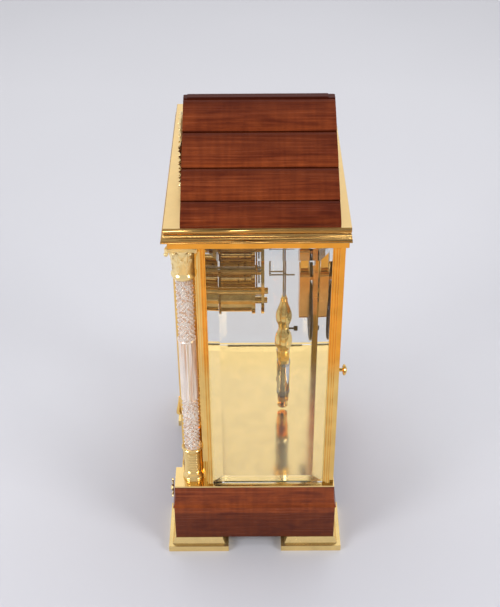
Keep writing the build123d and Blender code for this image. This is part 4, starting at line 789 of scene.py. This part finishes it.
class CLOCK_OT_case(bpy.types.Operator):
    """Corner posts, front frame, frieze and cornice"""

    bl_idname = "clock.case"
    bl_label = "Case frame"

    def execute(self, context):
        for name in ("front_frame", "frieze"):
            refined(name, gilt())
        self.posts()
        self.cornice()
        return {"FINISHED"}

    def posts(self):
        """Corner posts with grooves down their outer faces and one for the pane."""
        low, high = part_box("case_posts")
        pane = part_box("side_glasses")[1][0]
        right, front, back = high[0], low[1], high[1]
        inner = right - 7.1 * mm
        groove_in, groove_out = pane - 4.6 * mm, pane - 2.4 * mm
        front_post = [(inner, front), (right - 4.4 * mm, front)]
        front_post += self.grooved((right - 4.4 * mm, front), (right, front + 4.4 * mm), 2)
        front_post += self.grooved((right, front + 4.4 * mm), (right, front + 8.6 * mm), 2)
        front_post += [(groove_out, front + 8.6 * mm), (groove_out, front + 6.6 * mm), (groove_in, front + 6.6 * mm)]
        front_post += [(groove_in, front + 8.6 * mm), (inner, front + 8.6 * mm)]
        back_post = [(inner, back - 6.2 * mm), (groove_in, back - 6.2 * mm), (groove_in, back - 4.2 * mm)]
        back_post += [(groove_out, back - 4.2 * mm), (groove_out, back - 6.2 * mm)]
        back_post += self.grooved((right - 0.9 * mm, back - 6.2 * mm), (right - 0.9 * mm, back - 3.5 * mm), 1)
        back_post += self.grooved((right, back - 3.5 * mm), (right, back), 2) + [(inner, back)]
        bm = bmesh.new()
        for outline in (front_post, back_post):
            verts = [bm.verts.new((x, y, low[2])) for x, y in outline]
            grown = bmesh.ops.extrude_face_region(bm, geom=[bm.faces.new(verts)])["geom"]
            moved = [part for part in grown if isinstance(part, bmesh.types.BMVert)]
            bmesh.ops.translate(bm, vec=(0, 0, high[2] - low[2]), verts=moved)
        self.latch_pocket(both_sides(bm), inner, back)
        piece("grooved_posts", bm, [gilt()], "case", ["case_posts"], sharp=20.0)

    def latch_pocket(self, bm, inner, back):
        """Cuts the pocket for the back door's latch into the inner face of the right back post."""
        low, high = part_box("back_door_knob")
        middle = Vector([(start + end) / 2 for start, end in zip(low, high)])
        reach = 4.2 * mm
        near, far = back - 3.2 * mm, back - 1.2 * mm
        cuts = [((0, 0, middle.z + side * reach), (0, 0, 1)) for side in (-1, 1)]
        cuts += [((0, y, 0), (0, 1, 0)) for y in (near, far)]
        for at, normal in cuts:
            post = [face for face in bm.faces if face.calc_center_median().x > 0 and face.calc_center_median().y > 0]
            geom = list(dict.fromkeys(part for face in post for part in (face, *face.edges, *face.verts)))
            bmesh.ops.bisect_plane(bm, geom=geom, plane_co=at, plane_no=normal)
        for face in bm.faces:
            x, y, z = face.calc_center_median()
            if abs(x - inner) < 0.01 * mm and near < y < far and abs(z - middle.z) < reach:
                floor = face
        grown = bmesh.ops.extrude_face_region(bm, geom=[floor])["geom"]
        moved = [part for part in grown if isinstance(part, bmesh.types.BMVert)]
        bmesh.ops.translate(bm, vec=(middle.x + reach - inner, 0, 0), verts=moved)
        bmesh.ops.delete(bm, geom=[floor], context="FACES_ONLY")

    def grooved(self, start, end, count):
        """Points from one corner to another with narrow grooves between flat strips."""
        run = Vector(end) - Vector(start)
        inward = Vector((-run.y, run.x)).normalized()
        half = 0.38 * mm / run.length
        points = [start]
        for groove in range(count):
            middle = (groove + 0.5) / count
            for share, depth in ((middle - half, 0.0), (middle, 0.34 * mm), (middle + half, 0.0)):
                points.append(Vector(start) + run * share + inward * depth)
        return points + [end]

    def cornice(self):
        """Fillet, ogee and plain fascia round the case."""
        low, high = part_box("frieze")
        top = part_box("cornice")[1][2]
        share = (top - high[2]) / (cornice_profile[-1][1] * mm)
        levels = []
        for out, up in cornice_profile:
            out *= mm
            levels.append((
                (low[0] - out, low[1] - out), (high[0] + out, high[1] + 0.37 * out), high[2] + up * mm * share
            ))
        bm = stacked(levels)
        bmesh.ops.recalc_face_normals(bm, faces=bm.faces)
        for face in bm.faces:
            face.material_index = 1 if face.normal.z > 0.9 and face.calc_area() > 0.001 else 0
        # Painted shade: the cornice's sides take the darkened gilt, for the darker reflections of the mouldings.
        sides = metal("cornice_gilt", colours().cornice_gilt, 0.95, 0.2, 0.26, 0.0)
        top = metal("cornice_top", colours().cornice_top, 0.9, 0.3, 0.42)
        piece("cornice_moulding", bm, [sides, top], "case", ["cornice"], sharp=30.0)


class CLOCK_OT_panes(bpy.types.Operator):
    """Side panes and the glass of both doors"""

    bl_idname = "clock.panes"
    bl_label = "Glass panes"

    def execute(self, context):
        for name in ("side_glasses", "front_door_glass", "back_door_glass"):
            refined(name, pane_glass(), 0.0, 5.0)
        return {"FINISHED"}


class CLOCK_OT_doors(bpy.types.Operator):
    """Door frames, knobs with their latches, hinge pins and drops"""

    bl_idname = "clock.doors"
    bl_label = "Doors"

    def execute(self, context):
        for name in ("front_door", "back_door", "front_door_knob", "back_door_knob", "hinge_pins", "door_mounts"):
            refined(name, gilt())
        return {"FINISHED"}


class CLOCK_OT_roof(bpy.types.Operator):
    """Stepped mahogany roof, gables and ridge cap"""

    bl_idname = "clock.roof"
    bl_label = "Roof"

    def execute(self, context):
        self.courses()
        refined("roof_gables", wood("gable_wood", (0, 0, 0)), sizes().wood_round)
        ridge = wood("ridge_wood", (0, 0, math.radians(90)), colours().ridge_wood, gloss=0.04)
        refined("roof_ridge", ridge, sizes().wood_round)
        self.mount()
        return {"FINISHED"}

    def mount(self):
        """Wreath with a rosette and a leafy scroll on either side."""
        low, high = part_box("pediment_mount")
        radius = 15.7 * mm
        at = Vector((0.0, high[1], high[2] - 19.0 * mm))
        rim = [
            (radius + 2.2 * mm * math.cos(full_turn * step / 12), 2.0 * mm + 2.0 * mm * math.sin(full_turn * step / 12))
            for step in range(13)
        ]
        parts = [turned(rim, at, 64, "Y"), rosette(at, radius - mm, 8, 3.6 * mm, 3.6 * mm)]
        for step in range(22):
            spin = Matrix.Rotation(full_turn * step / 22, 4, "Y")
            place = Matrix.Translation(at) @ spin @ Matrix.Translation((radius, -2.2 * mm, -3.5 * mm))
            parts.append(leaf(5.0 * mm, 7.5 * mm, 1.2 * mm, 1.3 * mm, place @ Matrix.Rotation(0.35, 4, "Y"), 2))
        reach = high[0] - 19.0 * mm
        scrolls = []
        for step in range(18):
            share = step / 17
            x = 19.0 * mm + (reach - 5.0 * mm) * share
            z = 3.0 * mm * math.sin(full_turn * share) - 13.0 * mm * share
            grow = 1.0 - 0.55 * share
            lean = math.radians(105 if step % 2 else 55) + 0.3 * math.cos(full_turn * share)
            place = Matrix.Translation(at + Vector((x - 3 * mm, -1.4 * mm, z))) @ Matrix.Rotation(lean, 4, "Y")
            scrolls.append(leaf(8.0 * mm * grow, 11.0 * mm * grow, 1.4 * mm, 1.6 * mm * grow, place, 3))
            scrolls.append(ball(at + Vector((x, -1.3 * mm, z)), 1.7 * mm * grow))
        parts.append(both_sides(joined(*scrolls)))
        piece("pediment_foliage", joined(*parts), [cast_gilt()], "case", ["pediment_mount"], sharp=50.0)

    def courses(self):
        """Each slope as four swelling courses, with a riser below and a flat shelf above each one, each course painted
        darker towards its top as shadow under the course above.
        """
        low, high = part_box("roof_gables")
        use = sizes()
        eave = Vector((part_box("case_posts")[1][0] + 1.8 * mm, low[2] + 2.0 * mm))
        ridge = Vector((3.5 * mm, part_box("roof_slopes")[1][2]))
        up = (ridge - eave).normalized()
        out = Vector((up.y, -up.x))
        points = []
        for start, end in zip(course_shares, course_shares[1:]):
            foot = eave.lerp(ridge, start)
            head = eave.lerp(ridge, end)
            for along, swell in course_profile:
                points.append(foot.lerp(head, along) + out * (use.course_swell * swell - use.course_step))
        board = 10.5 * mm
        inner = [ridge - Vector((0, board * 1.13)), Vector((eave.x - 20 * mm, low[2])), Vector((eave.x, low[2]))]
        bm = bmesh.new()
        verts = [bm.verts.new((point.x, low[1], point.y)) for point in points + inner]
        grown = bmesh.ops.extrude_face_region(bm, geom=[bm.faces.new(verts)])["geom"]
        moved = [part for part in grown if isinstance(part, bmesh.types.BMVert)]
        bmesh.ops.translate(bm, vec=(0, high[1] - low[1], 0), verts=moved)
        both_sides(bm)
        # Painted shadow: each course is painted darker towards its top, where the course above overhangs it.
        painted_shade = []
        for start, end in zip(course_shares, course_shares[1:]):
            levels = [eave.y + (ridge.y - eave.y) * (start + (end - start) * share) for share in (0.02, 0.3, 0.75, 0.97)]
            painted_shade += zip(levels, (0.0, 0.05, 0.35, 0.85))
        finish = [wood("roof_wood", (0, 0, math.radians(90)), painted_shade=painted_shade)]
        piece("roof_courses", bm, finish, "case", ["roof_slopes"], sharp=38.0)


class CLOCK_OT_columns(bpy.types.Operator):
    """Cut crystal columns with gilt socles and leaf capitals"""

    bl_idname = "clock.columns"
    bl_label = "Corner columns"

    def execute(self, context):
        self.crystal()
        self.socle()
        self.capital()
        return {"FINISHED"}

    def axis(self):
        """Place of the right column's axis."""
        low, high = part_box("column_bases")
        return high[0] - (high[1] - low[1]) / 2, (low[1] + high[1]) / 2

    def socle(self):
        """Turned foot with rings, a ring of leaves and the cup that holds the crystal."""
        low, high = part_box("column_bases")
        radius = (high[1] - low[1]) / 2
        height = high[2] - low[2]
        at = (*self.axis(), low[2])
        parts = [turned(scaled(socle_profile, radius, height), at)]
        for step in range(10):
            place = around(at, full_turn * (step + 0.5) / 10, 0.88 * radius, 0.1 * height)
            place = place @ Matrix.Rotation(math.radians(-24), 4, "X")
            parts.append(leaf(5.0 * mm, 6.4 * mm, 0.6 * mm, 0.4 * mm, place, 2, 0.0005))
        shiny = metal("socle_gilt", colours().satin_gilt, 0.9, 0.08, 0.16, 0.05, 0.6)
        piece("socles", both_sides(joined(*parts)), [shiny], "case", ["column_bases"], sharp=42.0)

    def capital(self):
        """Leafy bell on a round torus, small scroll balls and the hollow-sided abacus."""
        low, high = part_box("column_capitals")
        at = Vector((*self.axis(), low[2]))
        bell_top = bell_profile[-1][1] * mm
        parts = [turned(scaled(bell_profile, mm, mm), at)]
        for step in range(8):
            turn = full_turn * step / 8
            relief = sizes().leaf_relief
            parts.append(leaf(8.6 * mm, 16.0 * mm, relief, 1.6 * mm, around(at, turn, 8.2 * mm, 5.2 * mm), 4))
            tall = around(at, turn + full_turn / 16, 8.7 * mm, 10.0 * mm)
            parts.append(leaf(7.4 * mm, 17.5 * mm, relief, 2.0 * mm, tall, 3))
        for quarter in range(4):
            turn = Matrix.Rotation(full_turn * quarter / 4, 3, "Z")
            for x, y, radius in ((12.0, 12.0, 1.9), (6.4, 11.6, 1.6), (-6.4, 11.6, 1.6)):
                spot = turn @ Vector((x * mm, y * mm, bell_top - 1.5 * mm))
                parts.append(ball(at + spot, radius * mm))
        post_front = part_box("case_posts")[0][1] - 0.3 * mm
        bell = kept(joined(*parts), (0, post_front, 0), (0, 1, 0))
        abacus = cad_copy("column_capitals")
        kept(abacus, (0, 0, low[2] + bell_top), (0, 0, -1))
        piece("capitals", joined(both_sides(bell), abacus), [cast_gilt()], "case", ["column_capitals"], sharp=42.0)

    def crystal(self):
        """Diamond cuts at both ends and flutes between, with one turned ring."""
        low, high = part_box("crystal_columns")
        ring = (high[1] - low[1]) / 2
        use = sizes()
        radius = ring - 0.5 * mm
        at = (high[0] - ring, (low[1] + high[1]) / 2, low[2])
        length = high[2] - low[2]
        row = use.diamond_height / 2
        flute_low = 0.31 * length
        flute_high = 0.655 * length
        lower_rows = round(flute_low / row)
        upper_rows = round((length - flute_high) / row)
        levels = [("cut", flute_low * step / lower_rows) for step in range(lower_rows + 1)]
        levels.append(("flute", flute_low + 0.7 * mm))
        levels.append(("flute", flute_high - 2.4 * mm))
        levels += [("plain", flute_high - 2.2 * mm), ("ring", flute_high - 1.6 * mm), ("ring", flute_high - 0.6 * mm)]
        levels.append(("plain", flute_high))
        levels += [
            ("cut", flute_high + 0.3 * mm + (length - flute_high - 0.3 * mm) * step / upper_rows)
            for step in range(upper_rows + 1)
        ]
        chain = [(0.0, 0.0)] + [(radius, height) for kind, height in levels] + [(0.0, length)]
        cuts = 2 * use.column_cuts
        bm = turned(chain, (0, 0, 0), cuts)
        shapes = {round(height, 7): (index, kind) for index, (kind, height) in enumerate(levels)}
        hollows = []
        for vert in bm.verts:
            index, kind = shapes.get(round(vert.co.z, 7), (0, ""))
            flat = Vector((vert.co.x, vert.co.y))
            if not kind or flat.length < radius / 2:
                continue
            step = round(math.atan2(flat.y, flat.x) / full_turn * cuts) % cuts
            if kind == "cut":
                hollow = (step + index) % 2
            elif kind == "flute":
                hollow = step % 2
            else:
                hollow = 0
            reach = ring if kind == "ring" else radius - use.cut_depth * hollow
            flat = flat.normalized() * reach
            vert.co.x, vert.co.y = flat
            if kind == "cut" and hollow:
                hollows.append(vert)
        bmesh.ops.connect_verts(bm, verts=hollows)
        bmesh.ops.triangulate(bm, faces=[face for face in bm.faces if len(face.verts) > 4])
        bmesh.ops.translate(bm, vec=at, verts=bm.verts)
        piece("crystal_cut", both_sides(bm), [crystal_glass()], "case", ["crystal_columns"], flat=True)


class CLOCK_OT_dial(bpy.types.Operator):
    """Dial with plain numbers, bezel and hands"""

    bl_idname = "clock.dial"
    bl_label = "Dial and hands"

    def execute(self, context):
        refined("dial", enamel())
        refined("dial_bezel", gilt())
        self.numbers()
        refined("hour_hand", blued_steel())
        refined("minute_hand", blued_steel())
        return {"FINISHED"}

    def numbers(self):
        """Roman numbers and a minute track, slightly raised from the enamel."""
        low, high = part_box("dial")
        middle = Vector(((low[0] + high[0]) / 2, low[1], (low[2] + high[2]) / 2))
        face = Matrix.Translation(middle) @ Matrix.Rotation(math.radians(90), 4, "X")
        parts = []
        for number, roman in enumerate(("XII", "I", "II", "III", "IIII", "V", "VI", "VII", "VIII", "IX", "X", "XI")):
            curve = bpy.data.curves.new("number", "FONT")
            curve.body = roman
            curve.size = sizes().numeral_height
            curve.extrude = 0.05 * mm
            curve.offset = 0.2 * mm
            curve.align_x = "CENTER"
            curve.align_y = "CENTER"
            drawn = bpy.data.objects.new("number", curve)
            bm = bmesh.new()
            bm.from_mesh(drawn.to_mesh())
            drawn.to_mesh_clear()
            bpy.data.objects.remove(drawn)
            spin = Matrix.Rotation(-full_turn * number / 12, 4, "Z")
            place = face @ spin @ Matrix.Translation((0, 37.5 * mm, 0)) @ Matrix.Diagonal((0.8, 1.25, 1.0, 1.0))
            bmesh.ops.transform(bm, matrix=place, verts=bm.verts)
            parts.append(bm)
        for minute in range(60):
            bm = bmesh.new()
            long = minute % 5 == 0
            shape = Matrix.Diagonal(((0.9 if long else 0.35) * mm, 2.4 * mm, 0.12 * mm, 1.0))
            spin = Matrix.Rotation(full_turn * minute / 60, 4, "Z")
            bmesh.ops.create_cube(bm, size=1.0, matrix=face @ spin @ Matrix.Translation((0, 46.4 * mm, 0)) @ shape)
            parts.append(bm)
        for radius in (45.1, 47.6):
            ring = [(radius, 0.06), (radius + 0.25, 0.06), (radius + 0.25, -0.06), (radius, -0.06), (radius, 0.06)]
            parts.append(turned(scaled(ring, mm, mm), middle, 96, "Y"))
        piece("dial_numbers", joined(*parts), [ink()], "case", flat=True)


class CLOCK_OT_movement(bpy.types.Operator):
    """Plates, barrels, wheels, arbors, anchor, hammer and gong"""

    bl_idname = "clock.movement"
    bl_label = "Movement"

    brass_nodes = (
        "movement_front_plate", "movement_back_plate", "movement_pillars", "movement_hanger", "going_barrel",
        "strike_barrel", "intermediate_wheel", "third_wheel", "escape_wheel", "pin_wheel", "hour_wheel",
        "minute_wheel", "cannon_pinion", "fly",
    )
    steel_nodes = (
        "centre_arbor", "going_arbor", "strike_arbor", "going_click", "strike_click", "anchor", "hammer",
        "suspension_spring",
    )

    def execute(self, context):
        for name in self.brass_nodes:
            refined(name, brass(), 0.00015)
        for name in self.steel_nodes:
            refined(name, steel(), 0.0001)
        stand = cad_copy("gong_stand")
        bar_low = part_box("movement_front_plate")[0][2] + 41.0 * mm
        kept_low = kept(stand, (0, 0, bar_low), (0, 0, 1))
        bars = kept(cad_copy("gong_stand"), (0, 0, bar_low), (0, 0, -1))
        piece("gong_block", kept_low, [bronze()], "case", ["gong_stand"], 0.0004)
        piece("gong_bars", bars, [gilt()], "case", ["gong_stand"], 0.0002)
        refined("gong_screws", blued_steel(), 0.0001)
        refined("coil_gong", blued_steel(), 0.0)
        return {"FINISHED"}


class CLOCK_OT_pendulum(bpy.types.Operator):
    """Pendulum rod, turned ornament, jars, stirrup and rating nut"""

    bl_idname = "clock.pendulum"
    bl_label = "Pendulum"

    def execute(self, context):
        refined("pendulum_rod", steel(), 0.0001)
        for name in ("jar_stirrup", "rating_nut"):
            refined(name, gilt(), 0.00015)
        refined("pendulum_adjuster", blued_steel(), 0.0001)
        self.ornament()
        self.jars()
        return {"FINISHED"}

    def ornament(self):
        """Turned double vase over the rounded yoke of the jars."""
        low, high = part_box("pendulum_ornament")
        yoke_top = low[2] + 4.0 * mm
        at = (0.0, (low[1] + high[1]) / 2, yoke_top)
        vase = turned(scaled(ornament_profile, 8.2 * mm, high[2] - yoke_top), at)
        yoke = kept(cad_copy("pendulum_ornament"), (0, 0, yoke_top), (0, 0, 1))
        shiny = metal("ornament_gilt", colours().ornament_gilt, 0.92, 0.05, 0.1, 0.03, 0.78)
        piece("ornament", joined(vase, yoke), [shiny], "pendulum", ["pendulum_ornament"], sharp=40.0)

    def jars(self):
        """Two bright jars with darker steel caps at both ends; at the rounded bottom the darker steel is also a painted
        dark reflection.
        """
        low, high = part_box("pendulum_jars")
        radius = (high[1] - low[1]) / 2
        height = high[2] - low[2]
        rows = [(0.0, 0.0), (0.66, 0.0), (0.86, 0.02), (0.98, 0.06), (1.0, 0.12), (1.0, 0.15), (0.94, 0.155)]
        rows += [(0.94, 0.9), (1.0, 0.905), (1.0, 1.0), (0.0, 1.0)]
        at = (high[0] - radius, (low[1] + high[1]) / 2, low[2])
        bm = both_sides(turned(scaled(rows, radius, height), at))
        # The ends take darker steel; on the rounded bottom it is partly painted dark reflection.
        for face in bm.faces:
            share = (face.calc_center_median().z - low[2]) / height
            face.material_index = 0 if 0.16 < share < 0.89 else 1
        filling = metal("mercury_jars", colours().mercury, 0.9, 0.06, 0.12)
        piece("jars", bm, [filling, steel()], "pendulum", ["pendulum_jars"], sharp=40.0)


class CLOCK_OT_stage(bpy.types.Operator):
    """Pale floor, lamps, surroundings and the camera"""

    bl_idname = "clock.stage"
    bl_label = "Studio"

    def execute(self, context):
        self.floor()
        self.surroundings()
        self.lamp("key_lamp", (-0.3, 0.0, 1.9), (0.0, 0.0, 0.2), 1.8, studio().key_power).visible_glossy = False
        self.lamp("far_lamp", (-1.7, 0.1, 1.5), (0.0, 0.0, 0.2), 1.7, studio().far_power)
        for name, side in (("left_lamp", -1), ("right_lamp", 1)):
            self.lamp(name, (1.0, side * 1.35, 1.0), (0.0, 0.0, 0.2), 0.7, studio().side_power)
        self.camera()
        return {"FINISHED"}

    def floor(self):
        """A wide floor, painted paler towards the far side and darker towards the camera, as painted shade."""
        bm = bmesh.new()
        bmesh.ops.create_circle(bm, cap_ends=True, segments=96, radius=6.0)
        mesh = bpy.data.meshes.new("floor")
        bm.to_mesh(mesh)
        bm.free()
        made, tree, shader, place = started("floor_paper")
        use = studio()
        parts = node(tree, "SeparateXYZ", {"Vector": place}).outputs
        across = parts["X"]
        # Painted shade: the floor darkens from the far side towards the camera.
        far = between(tree, across, 0.25, -0.9, 0.0, 1.0)
        cloud = between(tree, noise(tree, place, 2.0, 2.0), 0.3, 0.7, 0.97, 1.0)
        tone = blended(tree, far, opaque(use.floor_near_painted_shade), opaque(use.floor_far))
        edge = use.sheet_edge
        beyond = node(tree, "Math", {
            0: between(tree, across, edge - 0.02, edge + 0.02, 0.0, 1.0),
            1: between(tree, across, use.table_edge, use.table_edge + 0.05, 1.0, 0.0),
        }, operation="MULTIPLY").outputs[0]
        # Painted shade: the table is painted darker to either side of the clock.
        aside = node(tree, "Math", {0: parts["Y"]}, operation="ABSOLUTE").outputs[0]
        table_painted_shade = opaque([part * 0.35 for part in use.table])
        table = blended(tree, between(tree, aside, 0.1, 0.36, 0.0, 1.0), opaque(use.table), table_painted_shade)
        tone = blended(tree, beyond, tone, table)
        faded = node(tree, "HueSaturation", {"Color": tone, "Value": cloud})
        tree.links.new(faded.outputs["Color"], shader.inputs["Base Color"])
        grain = between(tree, noise(tree, place, 900.0, 2.0), 0.3, 0.7, 0.75, 0.85)
        tree.links.new(grain, shader.inputs["Roughness"])
        shader.inputs["Specular IOR Level"].default_value = 0.2
        mesh.materials.append(made)
        floor = bpy.data.objects.new("floor", mesh)
        bpy.context.scene.collection.objects.link(floor)

    def surroundings(self):
        """An even pale room, dimmer where lamps and shade meet the clock from the camera's side."""
        world = bpy.data.worlds.new("room")
        world.use_nodes = True
        tree = world.node_tree
        use = studio()
        back = tree.nodes["Background"]
        direction = node(tree, "TexCoord").outputs["Generated"]
        parts = node(tree, "SeparateXYZ", {"Vector": direction}).outputs
        side = between(tree, parts["X"], -0.3, 0.8, 1.0, 0.36)
        height = between(tree, parts["Z"], 0.6, 0.97, 1.0, 0.2)
        level = node(tree, "Math", {0: side, 1: height}, operation="MULTIPLY").outputs[0]
        tone = node(tree, "HueSaturation", {"Color": opaque(use.backdrop), "Value": level})
        tree.links.new(tone.outputs["Color"], back.inputs["Color"])
        back.inputs["Strength"].default_value = use.ambient
        bpy.context.scene.world = world

    def lamp(self, name, place, aim, size, power):
        """A square soft lamp that looks at a point."""
        data = bpy.data.lights.new(name, "AREA")
        data.size = size
        data.energy = power
        lamp = bpy.data.objects.new(name, data)
        lamp.location = place
        lamp.rotation_euler = (Vector(aim) - Vector(place)).to_track_quat("-Z", "Y").to_euler()
        bpy.context.scene.collection.objects.link(lamp)
        return lamp

    def camera(self):
        """The camera that took the photograph, found from its vanishing lines."""
        use = studio()
        down = math.cos(use.camera_pitch)
        ahead = Vector((
            -down * math.cos(use.camera_yaw), down * math.sin(use.camera_yaw), -math.sin(use.camera_pitch)
        ))
        right = ahead.cross(Vector((0, 0, 1))).normalized()
        up = right.cross(ahead)
        turn = Matrix.Rotation(use.camera_roll, 3, ahead)
        data = bpy.data.cameras.new("camera")
        data.lens = use.focal_length
        data.sensor_width = 36.0
        camera = bpy.data.objects.new("camera", data)
        basis = Matrix((turn @ right, turn @ up, -ahead)).transposed()
        camera.matrix_world = Matrix.Translation(use.camera_place) @ basis.to_4x4()
        bpy.context.scene.collection.objects.link(camera)
        bpy.context.scene.camera = camera
        bpy.context.scene.view_settings.view_transform = "Standard"


class CLOCK_PT_panel(bpy.types.Panel):
    """Lists the clock's operators and settings"""

    bl_idname = "CLOCK_PT_panel"
    bl_label = "Mantel clock"
    bl_space_type = "VIEW_3D"
    bl_region_type = "UI"
    bl_category = "Clock"

    def draw(self, context):
        for step in steps:
            self.layout.operator(step.bl_idname)
        for group in (context.scene.clock_colours, context.scene.clock_sizes, context.scene.clock_studio):
            box = self.layout.box()
            for name in group.__annotations__:
                box.prop(group, name)


steps = (
    CLOCK_OT_base, CLOCK_OT_case, CLOCK_OT_panes, CLOCK_OT_doors, CLOCK_OT_roof, CLOCK_OT_columns, CLOCK_OT_dial,
    CLOCK_OT_movement, CLOCK_OT_pendulum, CLOCK_OT_stage,
)
groups = (ClockColours, ClockSizes, ClockStudio)


def register():
    """Registers the settings, the operators and the panel."""
    for kind in groups + steps + (CLOCK_PT_panel,):
        bpy.utils.register_class(kind)
    bpy.types.Scene.clock_colours = bpy.props.PointerProperty(type=ClockColours)
    bpy.types.Scene.clock_sizes = bpy.props.PointerProperty(type=ClockSizes)
    bpy.types.Scene.clock_studio = bpy.props.PointerProperty(type=ClockStudio)


def unregister():
    """Takes the settings, the operators and the panel out again."""
    del bpy.types.Scene.clock_colours
    del bpy.types.Scene.clock_sizes
    del bpy.types.Scene.clock_studio
    for kind in reversed(groups + steps + (CLOCK_PT_panel,)):
        bpy.utils.unregister_class(kind)


def main():
    """Dresses the clock piece by piece."""
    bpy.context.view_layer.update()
    register()
    for step in steps:
        getattr(bpy.ops.clock, step.bl_idname.split(".")[1])()


if __name__ == "__main__":
    main()
